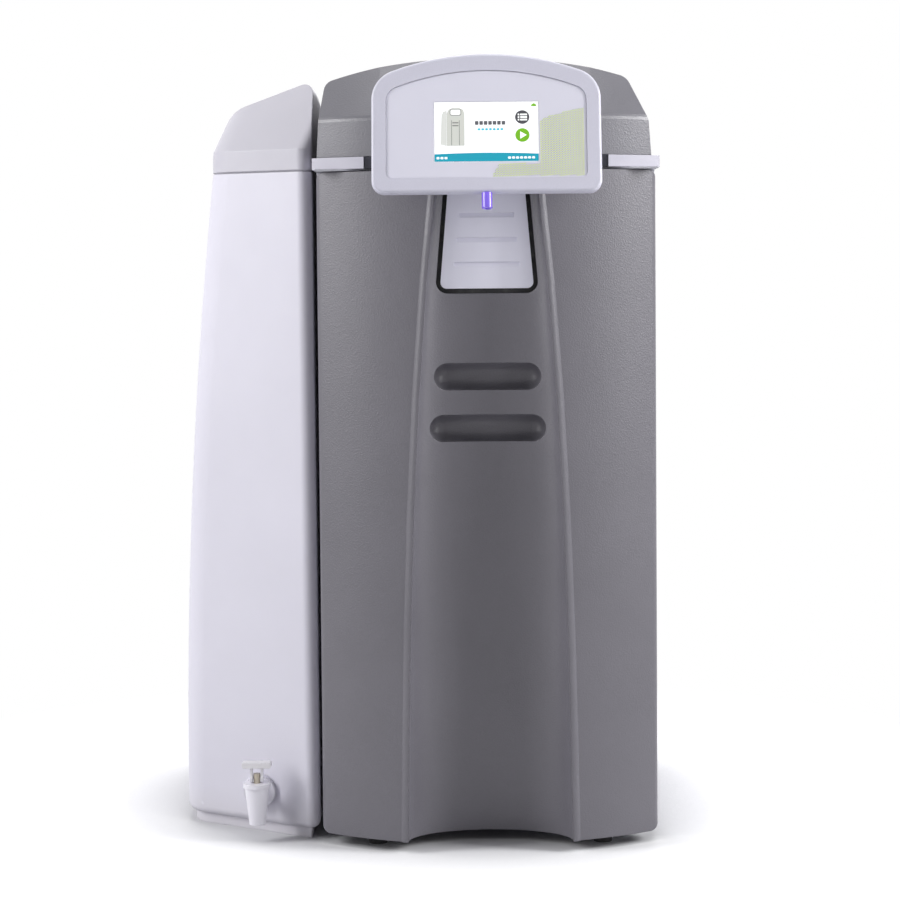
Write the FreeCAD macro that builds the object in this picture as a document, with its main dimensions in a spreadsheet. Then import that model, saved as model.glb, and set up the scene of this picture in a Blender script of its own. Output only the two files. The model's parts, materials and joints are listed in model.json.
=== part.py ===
import FreeCAD, Part
import Sketcher
import math
import os
from FreeCAD import Placement, Rotation, Vector

# Ultrapure water system: a floor cabinet with a bowed front door, a hinged hood,
# a display head with a dispense nozzle, and a side tank with a draw-off tap.
# Frame: X to the right, Y into the cabinet, Z up, floor at Z = 0, millimetres.
# Depths are measured back from the crown of the door's bow, and widths from the
# cabinet's centre plane, before both are shifted to the middle of the outline.

SIZES = {
    # door
    "door_foot_width": 384.0,
    "door_head_width": 380.2,
    "door_sill_z": 12.8,
    "door_top_z": 764.0,
    "door_bow_depth": 62.4,
    "door_return": 17.0,
    "door_wall": 4.0,
    "door_corner_radius": 9.0,
    "groove_foot_half": 93.0,
    "groove_foot_depth": 56.0,
    "groove_low_half": 87.5,
    "groove_low_depth": 40.0,
    "groove_low_z": 262.0,
    "groove_high_half": 75.3,
    "groove_high_depth": 26.0,
    "groove_high_z": 528.0,
    "groove_head_half": 53.0,
    "groove_head_depth": 14.0,
    "bead_radius": 9.0,
    "bead_sink": 6.6,
    "grip_height": 30.3,
    "grip_depth": 17.0,
    "upper_grip_width": 119.5,
    "upper_grip_z": 535.7,
    "lower_grip_width": 129.7,
    "lower_grip_z": 477.9,
    # dispense panel in the door
    "tongue_foot_z": 633.7,
    "tongue_foot_half": 52.1,
    "tongue_head_half": 41.0,
    "tongue_foot_front": 22.5,
    "tongue_head_front": 18.0,
    "tongue_seat": 33.0,
    "tongue_gap": 5.4,
    "tongue_top_gap": 3.0,
    "tongue_radius": 7.0,
    "step_height": 5.6,
    "step_depth": 2.0,
    "step_pitch": 27.1,
    "step_first_drop": 43.8,
    "step_first_half": 30.2,
    "step_growth": 3.2,
    "seal_depth": 4.0,
    "fit_gap": 0.3,
    # door hinge
    "hinge_drop": 14.0,
    "hinge_back": 40.0,
    "hinge_half": 110.0,
    "lug_width": 6.0,
    "lug_radius": 9.0,
    "pin_radius": 4.0,
    "pin_clearance": 0.35,
    "bracket_gap": 1.0,
    "bracket_width": 5.0,
    # collar and rail between door and hood
    "collar_gap": 3.0,
    "collar_height": 13.0,
    "collar_overhang": 2.6,
    "collar_band": 15.0,
    "rail_half": 135.0,
    "rail_depth": 40.0,
    "hood_gap": 0.4,
    # cabinet
    "cabinet_depth": 500.0,
    "sheet": 2.0,
    "panel_inset": 1.5,
    "panel_gap": 3.0,
    "base_z": 22.0,
    "base_lip": 20.0,
    "foot_radius": 14.0,
    "foot_tip_radius": 10.5,
    "foot_half": 129.0,
    "foot_front": 66.0,
    "foot_rear_inset": 60.0,
    "bay_half": 104.0,
    "base_front": 48.0,
    "vent_width": 150.0,
    "vent_height": 3.5,
    "vent_pitch": 12.0,
    "vent_z": 560.0,
    # hood
    "hood_wall": 3.5,
    "hood_inset": 2.7,
    "hood_right_inset": 6.7,
    "hood_flat_half": 118.0,
    "hood_fold_rise": 43.0,
    "hood_left_lean": 2.5,
    "hood_peak_z": 893.2,
    "hood_arch_radius": 600.0,
    "hood_arch_shift": 6.0,
    "hood_slope_run": 92.0,
    "hood_slope_rise": 88.0,
    "hood_rear_drop": 26.0,
    "hood_fold_radius": 12.0,
    "hood_rear_radius": 14.0,
    "left_shoulder_half": 181.0,
    "right_shoulder_half": 159.9,
    "right_knee_half": 182.3,
    "right_knee_z": 819.0,
    "right_knee_radius": 14.0,
    "left_shoulder_radius": 13.0,
    "right_shoulder_radius": 16.0,
    # hood hinge
    "barrel_radius": 4.5,
    "barrel_rise": 4.0,
    "hood_pin_radius": 2.0,
    "hood_hinge_half": 115.0,
    "knuckle_length": 16.0,
    "knuckle_gap": 0.5,
    "leaf_drop": 34.0,
    # display head
    "head_width": 248.0,
    "head_height": 155.3,
    "head_arch_radius": 290.0,
    "head_reach": 48.6,
    "head_foot_z": 737.6,
    "head_tilt": 14.0,
    "head_shoulder_radius": 34.0,
    "head_corner_radius": 14.0,
    "bezel_depth": 9.0,
    "bezel_edge_radius": 3.5,
    "bezel_rim_x": 16.0,
    "bezel_rim_foot": 16.4,
    "bezel_rim_top": 19.4,
    "fascia_depth": 2.5,
    "fascia_sink": 1.0,
    "fascia_shoulder_radius": 16.0,
    "fascia_corner_radius": 6.0,
    "fascia_arch_radius": 270.0,
    "screen_width": 112.8,
    "screen_height": 67.0,
    "screen_foot": 34.0,
    "screen_depth": 2.2,
    "back_depth": 15.0,
    "back_inset": 5.0,
    "back_edge_radius": 5.0,
    "arm_half": 42.0,
    "arm_height": 30.0,
    "arm_clearance": 3.0,
    # dispense nozzle
    "nozzle_radius": 5.7,
    "nozzle_length": 17.0,
    "nozzle_bore": 2.5,
    "nozzle_tip": 0.5,
    "nozzle_share": 0.5,
    # tank
    "tank_gap": 1.9,
    "tank_width": 164.6,
    "tank_head_width": 120.0,
    "tank_belly_width": 154.2,
    "tank_belly_z": 380.0,
    "tank_front": 70.4,
    "tank_sweep": 100.0,
    "tank_rear_gap": 10.0,
    "tank_wall": 4.0,
    "tank_front_radius": 11.0,
    "tank_left_radius": 45.0,
    "tank_rear_radius": 25.0,
    "tank_edge_radius": 9.0,
    "seam_z": 766.5,
    "plinth_height": 12.0,
    "plinth_inset": 9.0,
    "tank_bracket_back": 200.0,
    "tank_bracket_length": 220.0,
    "tank_bracket_z": 600.0,
    "tank_bracket_height": 40.0,
    # tank lid
    "seam_gap": 0.3,
    "seam_rebate": 1.5,
    "lid_bend_radius": 36.0,
    "lid_side_z": 786.0,
    "lid_shoulder_width": 99.0,
    "lid_shoulder_z": 840.0,
    "lid_ridge_z": 873.4,
    "lid_fold_z": 792.0,
    "lid_slope_run": 75.0,
    "lid_slope_rise": 95.0,
    "lid_fall": 8.5,
    "lid_ridge_radius": 11.0,
    "spigot_depth": 9.0,
    "spigot_clearance": 0.6,
    # tap
    "tap_side": 71.2,
    "tap_z": 51.5,
    "boss_radius": 19.0,
    "boss_proud": 1.0,
    "boss_length": 34.0,
    "flange_radius": 18.0,
    "flange_depth": 4.0,
    "shank_radius": 8.0,
    "barrel_reach": 27.0,
    "barrel_top_radius": 15.6,
    "barrel_foot_radius": 9.4,
    "barrel_top_z": 69.0,
    "barrel_foot_z": 21.0,
    "barrel_rim": 5.0,
    "barrel_lip": 1.6,
    "tap_bore": 4.5,
    "outlet_length": 24.0,
    "stem_radius": 4.0,
    "stem_top_z": 80.0,
    "stem_foot_drop": 34.0,
    "stem_travel": 3.0,
    "lever_leg_gap": 0.6,
    "lever_leg": 2.6,
    "lever_leg_depth": 8.0,
    "lever_pin_radius": 1.6,
    "lever_pin_z": 74.5,
    "paddle_width": 33.6,
    "paddle_height": 6.5,
    "paddle_depth": 14.0,
    "paddle_top_z": 93.5,
    "nut_radius": 13.0,
    "nut_depth": 8.0,
    # equipment behind the door
    "plate_back": 300.0,
    "vessel_radius": 38.0,
    "vessel_length": 470.0,
    "vessel_foot_z": 170.0,
    "vessel_first_x": -128.0,
    "vessel_pitch": 92.0,
    "cap_radius": 43.0,
    "cap_height": 26.0,
    "saddle_depth": 16.0,
    "saddle_height": 22.0,
    "saddle_width": 70.0,
    "cartridge_radius": 36.0,
    "cartridge_length": 360.0,
    "cartridge_first_x": 62.0,
    "cartridge_pitch": 76.0,
    "cartridge_foot_z": 230.0,
    "cartridge_chamfer": 5.0,
    "cartridge_shoulder": 18.0,
    "manifold_width": 150.0,
    "manifold_height": 42.0,
    "manifold_depth": 60.0,
    "neck_radius": 14.0,
    "neck_height": 10.0,
    "motor_radius": 45.0,
    "motor_length": 120.0,
    "pump_radius": 34.0,
    "pump_length": 62.0,
    "pump_x": -118.0,
    "pump_back": 170.0,
    "cradle_height": 14.0,
    # equipment under the hood
    "lamp_radius": 30.0,
    "lamp_length": 270.0,
    "lamp_back": 200.0,
    "lamp_cap_radius": 34.0,
    "lamp_cap_length": 16.0,
    "saddle_rise": 12.0,
    "lamp_saddle": 18.0,
    "box_width": 230.0,
    "box_depth": 130.0,
    "box_height": 62.0,
    "box_rear_gap": 15.0,
    "box_radius": 6.0,
    # rear fittings
    "rear_reach": 18.0,
    "port_radius": 9.0,
    "port_nut_radius": 13.0,
    "port_bore": 4.0,
    "port_pitch": 44.0,
    "port_z": 110.0,
    "port_x": -120.0,
    "tank_port_z": 60.0,
    "inlet_width": 28.0,
    "inlet_height": 24.0,
    "inlet_depth": 6.0,
    "inlet_x": 120.0,
    "inlet_z": 120.0,
    "inlet_core_width": 22.0,
    "inlet_core_height": 16.0,
    "rocker_width": 14.0,
    "rocker_height": 21.0,
    "rocker_depth": 5.0,
    "rocker_rise": 42.0,
    "rocker_gap": 1.2,
    "rocker_tip": 2.6,
    "rocker_pivot": 3.5,
    "frame_rim": 3.0,
    "overrun": 10.0,
}

VENTS = 8
GROOVE_STRIPS = 6
FOLD_FACETS = 2
SADDLE_LOW_SHARE = 0.12
SADDLE_HIGH_SHARE = 0.82
SADDLE_HALF_SHARE = 0.6

doc = FreeCAD.newDocument("ultrapure_water_system")
sheet = doc.addObject("Spreadsheet::Sheet", "sizes")
for row, (alias, value) in enumerate(SIZES.items(), start=1):
    sheet.set(f"A{row}", alias)
    sheet.set(f"B{row}", str(value))
    sheet.setAlias(f"B{row}", alias)
doc.recompute()


class Size:
    """A length that knows its value and the sheet expression behind it."""

    def __init__(self, value, text):
        self.value = value
        self.text = text

    def __float__(self):
        return float(self.value)

    def __add__(self, other):
        return Size(float(self) + float(other), f"({self.text} + {formula(other)})")

    def __radd__(self, other):
        return Size(float(other) + float(self), f"({formula(other)} + {self.text})")

    def __sub__(self, other):
        return Size(float(self) - float(other), f"({self.text} - {formula(other)})")

    def __rsub__(self, other):
        return Size(float(other) - float(self), f"({formula(other)} - {self.text})")

    def __mul__(self, other):
        return Size(float(self) * float(other), f"({self.text} * {formula(other)})")

    def __rmul__(self, other):
        return Size(float(other) * float(self), f"({formula(other)} * {self.text})")

    def __truediv__(self, other):
        return Size(float(self) / float(other), f"({self.text} / {formula(other)})")

    def __neg__(self):
        return Size(-float(self), f"(0 - {self.text})")


def formula(item):
    return item.text if isinstance(item, Size) else repr(float(item))


def root(item):
    return Size(math.sqrt(float(item)), f"sqrt({item.text})")


def sine(angle):
    return Size(math.sin(math.radians(float(angle))), f"sin({angle.text})")


def cosine(angle):
    return Size(math.cos(math.radians(float(angle))), f"cos({angle.text})")


class Sizes:
    """The sheet's sizes by name."""

    def __init__(self, names):
        for name in names:
            setattr(self, name, Size(float(sheet.get(name)), f"sizes.{name}"))


s = Sizes(SIZES)
nodes = []


# Places shared by several pieces

collar_half = s.door_foot_width / 2 + s.collar_overhang
tank_right = -(collar_half + s.tank_gap)
tank_left = tank_right - s.tank_width
centre_x = -(tank_left + collar_half) / 2
front_y = (s.head_reach - s.cabinet_depth - s.rear_reach) / 2
door_half = s.door_foot_width / 2
bow_radius = (door_half * door_half + s.door_bow_depth * s.door_bow_depth) / (2 * s.door_bow_depth)
collar_z = s.door_top_z + s.collar_gap
collar_top = collar_z + s.collar_height
hood_z = collar_top + s.hood_gap
panel_half = door_half - s.panel_inset
panel_front = s.door_bow_depth + s.door_return + s.panel_gap
panel_rear = s.cabinet_depth - s.sheet
deck_z = collar_z - s.sheet


def bow_y(x, growth=0.0):
    """Depth of the bow at a distance from the centre plane, for the bow grown outward."""
    radius = bow_radius + growth
    return bow_radius - root(radius * radius - x * x)


rail_front = bow_y(s.rail_half)


# Pieces of the model tree

SPIN = {
    "X": Rotation(Vector(0, 1, 0), 90),
    "Y": Rotation(Vector(1, 0, 0), -90),
    "Z": Rotation(),
}
PLANES = {"XY": "XY_Plane", "XZ": "XZ_Plane", "YZ": "YZ_Plane"}


def place(obj, x, y, z, rotation=Rotation()):
    """Puts an object at a place given from the cabinet's centre plane and the bow's crown."""
    spots = (centre_x + x, front_y + y, z + 0.0 if isinstance(z, Size) else Size(z, repr(float(z))))
    obj.Placement = Placement(Vector(*[float(spot) for spot in spots]), rotation)
    for axis, spot in zip("xyz", spots):
        obj.setExpression(f"Placement.Base.{axis}", formula(spot))
    return obj


def box(name, x, y, z):
    """A block between two depths, widths and heights, each given as a pair."""
    block = doc.addObject("Part::Box", name)
    for side, (low, high) in zip(("Length", "Width", "Height"), (x, y, z)):
        block.setExpression(side, formula(high - low))
    return place(block, x[0], y[0], z[0])


def rod(name, axis, radius, start, length):
    """A cylinder from the middle of its first end."""
    cylinder = doc.addObject("Part::Cylinder", name)
    cylinder.setExpression("Radius", formula(radius))
    cylinder.setExpression("Height", formula(length))
    return place(cylinder, *start, SPIN[axis])


def cone(name, axis, first_radius, last_radius, start, length):
    """A tapered round bar from the middle of its first end."""
    taper = doc.addObject("Part::Cone", name)
    taper.setExpression("Radius1", formula(first_radius))
    taper.setExpression("Radius2", formula(last_radius))
    taper.setExpression("Height", formula(length))
    return place(taper, *start, SPIN[axis])


def join(name, *parts):
    union = doc.addObject("Part::MultiFuse", name)
    union.Shapes = list(parts)
    return union


def cut(name, base, *tools):
    difference = doc.addObject("Part::Cut", name)
    difference.Base = base
    difference.Tool = tools[0] if len(tools) == 1 else join(name + "_tools", *tools)
    return difference


def node(obj, label):
    """Names an object as a sub-part that is written out."""
    obj.Label = label
    nodes.append(obj)
    return obj


def solid(label, shape, x=0.0, y=0.0, z=0.0):
    """A moulded sub-part whose shape is worked out from the sheet's sizes."""
    feature = doc.addObject("Part::Feature", label)
    feature.Shape = shape
    feature.Placement = Placement(Vector(float(centre_x + x), float(front_y + y), float(z)), Rotation())
    return node(feature, label)


def outline_sketch(body, name, plane, corners, arcs):
    """A closed outline through named corners; an arc edge has a radius and a bulge side."""
    sketch = body.newObject("Sketcher::SketchObject", name)
    for feature in body.Origin.OriginFeatures:
        if feature.Role == PLANES[plane]:
            sketch.AttachmentSupport = [(feature, "")]
    sketch.MapMode = "FlatFace"
    count = len(corners)
    ends = []
    for index in range(count):
        start = Vector(float(corners[index][0]), float(corners[index][1]))
        end = Vector(float(corners[(index + 1) % count][0]), float(corners[(index + 1) % count][1]))
        if index in arcs:
            radius, side = arcs[index]
            edge = bulged_arc(start, end, float(radius), side)
            flipped = side < 0
        else:
            edge = Part.LineSegment(start, end)
            flipped = False
        sketch.addGeometry(edge)
        ends.append((2, 1) if flipped else (1, 2))
    for index in range(count):
        following = (index + 1) % count
        sketch.addConstraint(
            Sketcher.Constraint("Coincident", index, ends[index][1], following, ends[following][0])
        )
    for index, corner in enumerate(corners):
        for kind, spot in zip(("DistanceX", "DistanceY"), corner):
            number = sketch.addConstraint(
                Sketcher.Constraint(kind, -1, 1, index, ends[index][0], float(spot))
            )
            sketch.setExpression(f"Constraints[{number}]", formula(spot))
    for index, (radius, side) in arcs.items():
        number = sketch.addConstraint(Sketcher.Constraint("Radius", index, float(radius)))
        sketch.setExpression(f"Constraints[{number}]", formula(radius))
    return sketch


def bulged_arc(start, end, radius, side):
    """The shorter arc between two points, bulging to the right (1) or left (-1) of the way."""
    chord = end - start
    half = chord.Length / 2
    across = Vector(chord.y, -chord.x, 0).normalize()
    heart = (start + end) * 0.5 - across * (side * math.sqrt(radius * radius - half * half))
    first, last = (start, end) if side > 0 else (end, start)
    angles = [math.atan2(spot.y - heart.y, spot.x - heart.x) for spot in (first, last)]
    if angles[1] < angles[0]:
        angles[1] += 2 * math.pi
    return Part.ArcOfCircle(Part.Circle(heart, Vector(0, 0, 1), radius), *angles)


def edges_where(shape, test):
    return [f"Edge{index}" for index, edge in enumerate(shape.Edges, start=1) if test(edge)]


def middle(edge):
    return edge.valueAt((edge.FirstParameter + edge.LastParameter) / 2)


def padded(name, plane, corners, depth, arcs=None, toward_back=False):
    """A body with one padded outline, and its pad."""
    body = doc.addObject("PartDesign::Body", name)
    sketch = outline_sketch(body, name + "_outline", plane, corners, arcs or {})
    pad = body.newObject("PartDesign::Pad", name + "_pad")
    pad.Profile = sketch
    pad.setExpression("Length", formula(depth))
    pad.Reversed = toward_back
    doc.recompute()
    return body, pad


def pocketed(body, name, plane, corners, depth, arcs=None, toward_back=False):
    """A pocket of one outline in a body, which has to take material away."""
    before = body.Tip.Shape.Volume
    sketch = outline_sketch(body, name + "_outline", plane, corners, arcs or {})
    pocket = body.newObject("PartDesign::Pocket", name)
    pocket.Profile = sketch
    pocket.setExpression("Length", formula(depth))
    pocket.Reversed = toward_back
    doc.recompute()
    if not pocket.Shape.Volume < before:
        raise RuntimeError(f"{name} cuts nothing")
    return pocket


def rounded(body, name, radius, test):
    """A fillet on the edges of the body's last feature that pass a test."""
    base = body.Tip
    names = edges_where(base.Shape, test)
    if not names:
        raise RuntimeError(f"{name} finds no edge")
    fillet = body.newObject("PartDesign::Fillet", name)
    fillet.Base = (base, names)
    fillet.setExpression("Radius", formula(radius))
    doc.recompute()
    return fillet


def standing_at(plane, spots):
    """A test for the straight edges that a pad raises over given corners."""
    axes = {"XY": (0, 1, 2), "XZ": (0, 2, 1), "YZ": (1, 2, 0)}[plane]

    def test(edge):
        if len(edge.Vertexes) < 2:
            return False
        first, last = (vertex.Point for vertex in edge.Vertexes)
        along = abs((last - first)[axes[2]])
        if abs(along - (last - first).Length) > Part.Precision.confusion() * 100:
            return False
        spot = middle(edge)
        return any(
            math.hypot(spot[axes[0]] - float(x), spot[axes[1]] - float(y)) < float(s.fit_gap)
            for x, y in spots
        )

    return test


def turned(name, corners, x, y, z, rotation=Rotation()):
    """A body turned about the vertical through a place, from corners in radius and height."""
    body = doc.addObject("PartDesign::Body", name)
    sketch = outline_sketch(body, name + "_outline", "XZ", corners, {})
    turn = body.newObject("PartDesign::Revolution", name + "_turn")
    turn.Profile = sketch
    turn.ReferenceAxis = (sketch, ["V_Axis"])
    turn.Angle = 360
    doc.recompute()
    return place(body, x, y, z, rotation)


# Outlines for the moulded pieces

def line(start, end):
    return Part.LineSegment(Vector(*start), Vector(*end)).toShape()


def inset_corners(corners, distance):
    """A counter-clockwise polygon's corners with every side moved inward."""
    moved = []
    count = len(corners)
    for index in range(count):
        before, here, after = corners[index - 1], corners[index], corners[(index + 1) % count]
        first = (Vector(*here) - Vector(*before)).normalize()
        second = (Vector(*after) - Vector(*here)).normalize()
        turn = first.x * second.y - first.y * second.x
        reach = distance * (1 - first.dot(second)) / turn
        inward = Vector(-first.y, first.x) * distance
        moved.append(tuple(Vector(*here) + inward + first * -reach)[:2])
    return moved


def rounded_edges(corners, radii):
    """Straight sides joined by arcs, one radius for each corner of a convex polygon."""
    edges = []
    count = len(corners)
    joints = []
    for index, radius in enumerate(radii):
        here = Vector(*corners[index])
        back = (Vector(*corners[index - 1]) - here).normalize()
        ahead = (Vector(*corners[(index + 1) % count]) - here).normalize()
        half_angle = back.getAngle(ahead) / 2
        reach = radius / math.tan(half_angle)
        inward = (back + ahead).normalize()
        bulge = here + inward * (radius / math.sin(half_angle) - radius)
        joints.append((here + back * reach, bulge, here + ahead * reach, radius))
    for index, (start, bulge, end, radius) in enumerate(joints):
        if radius > 0:
            edges.append(Part.Arc(start, bulge, end).toShape())
        edges.append(Part.LineSegment(end, joints[(index + 1) % count][0]).toShape())
    return edges


def upright(edges):
    """Edges drawn in the ground plane, stood up to face the front."""
    stood = Placement(Vector(), Rotation(Vector(1, 0, 0), 90))
    return [edge.transformed(stood.toMatrix()) for edge in edges]


def face_of(edges):
    return Part.Face(Part.Wire(edges))


# Door

overrun = float(s.overrun)
wall = float(s.door_wall)
sill = float(s.door_sill_z)
door_top = float(s.door_top_z)
door_back = float(s.door_bow_depth + s.door_return)
radius_of_bow = float(bow_radius)

groove_stations = [
    (sill - overrun, float(s.groove_foot_half), float(s.groove_foot_depth)),
    (float(s.groove_low_z), float(s.groove_low_half), float(s.groove_low_depth)),
    (float(s.groove_high_z), float(s.groove_high_half), float(s.groove_high_depth)),
    (door_top + overrun, float(s.groove_head_half), float(s.groove_head_depth)),
]


def door_block(inset, low, high):
    """The bowed front with its returns, moved in by an inset, between two heights."""
    radius = radius_of_bow - inset
    half = float(door_half) - inset
    corner = radius_of_bow - math.sqrt(radius * radius - half * half)
    back = door_back + (overrun if inset else 0)
    plan = face_of([
        Part.Arc(Vector(-half, corner, low), Vector(0, inset, low), Vector(half, corner, low)).toShape(),
        line((half, corner, low), (half, back, low)),
        line((half, back, low), (-half, back, low)),
        line((-half, back, low), (-half, corner, low)),
    ])
    bow = plan.extrude(Vector(0, 0, high - low))
    lean = float(s.door_foot_width - s.door_head_width) / 2 / (door_top - sill)
    foot = half - lean * (low - sill)
    head = half - lean * (high - sill)
    taper = face_of(upright([
        line((-foot, low), (foot, low)),
        line((foot, low), (head, high)),
        line((head, high), (-head, high)),
        line((-head, high), (-foot, low)),
    ])).extrude(Vector(0, back + overrun, 0))
    taper.translate(Vector(0, -overrun, 0))
    block = bow.common(taper)
    fronts = [
        edge for edge in block.Edges
        if abs(edge.Vertexes[-1].Z - edge.Vertexes[0].Z) > (high - low) / 2 and middle(edge).y < door_back - wall
    ]
    return block.makeFillet(float(s.door_corner_radius) - inset, fronts)


def groove_at(z):
    """Half width and depth of the door's hollow at a height, on a curve through its stations."""
    half = 0.0
    depth = 0.0
    for here, own_half, own_depth in groove_stations:
        weight = 1.0
        for other, _, _ in groove_stations:
            if other != here:
                weight *= (z - other) / (here - other)
        half += weight * own_half
        depth += weight * own_depth
    return half, depth


def groove_floor(z):
    """Depth of the hollow's middle at a height."""
    half, depth = groove_at(z)
    return float(bow_y(Size(half, "groove half"))) + depth


groove_low = groove_stations[0][0]
groove_high = groove_stations[-1][0]
groove_levels = [
    groove_low + (groove_high - groove_low) * step / GROOVE_STRIPS for step in range(GROOVE_STRIPS + 1)
]


def groove(growth):
    """The hollow down the middle of the door, with half an ellipse as its section."""
    sections = []
    for z in groove_levels:
        half, depth = groove_at(z)
        ridge = float(bow_y(Size(half, "groove half")))
        width = half + growth
        curve = Part.Ellipse(Vector(0, ridge, z), width, depth + growth)
        sections.append(Part.Wire([
            Part.ArcOfEllipse(curve, 0, math.pi).toShape(),
            line((-width, ridge, z), (-width, -overrun, z)),
            line((-width, -overrun, z), (width, -overrun, z)),
            line((width, -overrun, z), (width, ridge, z)),
        ]))
    return Part.makeLoft(sections, True, True)


def bead(side):
    """The raised bead beside the hollow, on the left (-1) or the right (1)."""
    rings = []
    for z in groove_levels:
        half, depth = groove_at(z)
        heart = Vector(side * half, float(bow_y(Size(half, "groove half")) + s.bead_sink), z)
        rings.append(Part.Wire([Part.makeCircle(float(s.bead_radius), heart)]))
    return Part.makeLoft(rings, True, True)


def grip(z, width, growth):
    """A finger grip with a round back and round ends, grown by a wall."""
    radius = float(s.grip_height) / 2 + growth
    reach = width / 2 - float(s.grip_height) / 2
    depth = groove_floor(z) + float(s.grip_depth) - float(s.grip_height) / 2
    across = Vector(1, 0, 0)
    left = Vector(-reach, depth, z)
    right = Vector(reach, depth, z)
    back = Part.makeCylinder(radius, 2 * reach, left, across)
    rounded_back = back.fuse([Part.makeSphere(radius, left), Part.makeSphere(radius, right)])
    way = depth + overrun
    front = Part.makeBox(2 * reach, way, 2 * radius, Vector(-reach, -overrun, z - radius))
    ends = [Part.makeCylinder(radius, way, Vector(x, -overrun, z), Vector(0, 1, 0)) for x in (-reach, reach)]
    return rounded_back.fuse([front] + ends)


def tongue_corners(growth, top):
    """The dispense panel's outline, wider towards its foot, grown by a gap."""
    foot_z = float(s.tongue_foot_z) - growth
    slope = float(s.tongue_foot_half - s.tongue_head_half) / float(s.door_top_z - s.tongue_top_gap - s.tongue_foot_z)
    foot = float(s.tongue_foot_half) + growth
    head = foot - slope * (top - foot_z)
    return [(-foot, foot_z), (foot, foot_z), (head, top), (-head, top)]


def tongue_block(growth, top, front, back):
    radius = float(s.tongue_radius) + growth
    edges = rounded_edges(tongue_corners(growth, top), (radius, radius, 0, 0))
    block = face_of(upright(edges)).extrude(Vector(0, back - front, 0))
    block.translate(Vector(0, front, 0))
    return block


def front_door():
    rim = rounded_edges(
        [
            (-float(door_half), sill),
            (float(door_half), sill),
            (float(s.door_head_width) / 2, door_top),
            (-float(s.door_head_width) / 2, door_top),
        ],
        [float(s.door_corner_radius)] * 4,
    )
    silhouette = face_of(upright(rim)).extrude(Vector(0, door_back + 2 * overrun, 0))
    silhouette.translate(Vector(0, -overrun, 0))
    grips = [
        (float(s.upper_grip_z), float(s.upper_grip_width)),
        (float(s.lower_grip_z), float(s.lower_grip_width)),
    ]
    gap = float(s.tongue_gap)
    seat = float(s.tongue_seat)
    outer = door_block(0, sill, door_top).fuse([bead(-1), bead(1)]).common(silhouette)
    outer = outer.cut([groove(0), tongue_block(gap, door_top + overrun, -overrun, seat)])
    outer = outer.cut([grip(z, width, 0) for z, width in grips])
    hollow = door_block(wall, sill - overrun, door_top + overrun)
    hollow = hollow.cut([groove(wall), tongue_block(gap + wall, door_top + 2 * overrun, -overrun, seat + wall)])
    hollow = hollow.cut([grip(z, width, wall) for z, width in grips])
    shell = outer.cut(hollow)
    heart = (float(s.hinge_back), float(s.door_top_z - s.hinge_drop))
    radius = float(s.lug_radius)
    for side in (-1, 1):
        skin = float(bow_y(s.hinge_half) + s.door_wall / 2)
        start = side * float(s.hinge_half) - float(s.lug_width) / 2
        lug = Part.makeBox(float(s.lug_width), heart[0] - skin, 2 * radius, Vector(start, skin, heart[1] - radius))
        eye = Part.makeCylinder(radius, float(s.lug_width), Vector(start, *heart), Vector(1, 0, 0))
        bore = Part.makeCylinder(
            float(s.pin_radius + s.pin_clearance), float(s.lug_width), Vector(start, *heart), Vector(1, 0, 0)
        )
        shell = shell.fuse(lug.fuse(eye)).cut(bore)
    return shell


solid("front_door", front_door())

# Dispense panel, its seal and the hinge of the door

panel_top = s.door_top_z - s.tongue_top_gap


def dispense_panel():
    block = tongue_block(0, float(panel_top), -overrun, float(s.tongue_seat))
    foot_z = float(s.tongue_foot_z)
    top = float(panel_top)
    lean = float(s.tongue_foot_front - s.tongue_head_front) / (top - foot_z)

    def front_at(z):
        return float(s.tongue_foot_front) - lean * (z - foot_z)

    half = float(s.tongue_foot_half) + overrun
    low, high = foot_z - overrun, top + overrun
    waste = Part.makePolygon([
        Vector(-half, -2 * overrun, low),
        Vector(-half, front_at(low), low),
        Vector(-half, front_at(high), high),
        Vector(-half, -2 * overrun, high),
        Vector(-half, -2 * overrun, low),
    ])
    panel = block.cut(Part.Face(waste).extrude(Vector(2 * half, 0, 0)))
    for count in range(3):
        z = top - float(s.step_first_drop) - count * float(s.step_pitch)
        reach = float(s.step_first_half) + count * float(s.step_growth)
        notch = Part.makePolygon([
            Vector(-reach, front_at(z) - overrun, z),
            Vector(-reach, front_at(z) + float(s.step_depth), z),
            Vector(-reach, front_at(z - float(s.step_height)), z - float(s.step_height)),
            Vector(-reach, front_at(z) - overrun, z - float(s.step_height)),
            Vector(-reach, front_at(z) - overrun, z),
        ])
        panel = panel.cut(Part.Face(notch).extrude(Vector(2 * reach, 0, 0)))
    return panel


solid("dispense_panel", dispense_panel())


def dispense_seal():
    seat = float(s.tongue_seat)
    front = seat - float(s.seal_depth)
    outer = tongue_block(float(s.tongue_gap - s.fit_gap), float(panel_top), front, seat)
    inner = tongue_block(float(s.fit_gap), float(panel_top) + overrun, front - overrun, seat + overrun)
    return outer.cut(inner)


solid("dispense_seal", dispense_seal())

for side, name in ((-1, "left"), (1, "right")):
    inner = s.hinge_half + s.lug_width / 2 + s.bracket_gap
    outer = inner + s.bracket_width
    heart_z = s.door_top_z - s.hinge_drop
    pin_start = s.hinge_half - s.lug_width / 2 - s.fit_gap
    span = (inner, outer) if side > 0 else (-outer, -inner)
    arm = box(
        f"pivot_{name}_arm",
        span,
        (s.hinge_back - s.pin_radius, s.hinge_back + s.rail_depth / 2),
        (heart_z - s.lug_radius, deck_z),
    )
    start = pin_start if side > 0 else -outer
    pin = rod(f"pivot_{name}_pin", "X", s.pin_radius, (start, s.hinge_back, heart_z), outer - pin_start)
    node(join(f"pivot_{name}", arm, pin), f"door_pivot_{name}")

# Collar, rail and deck between the door and the hood


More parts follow.
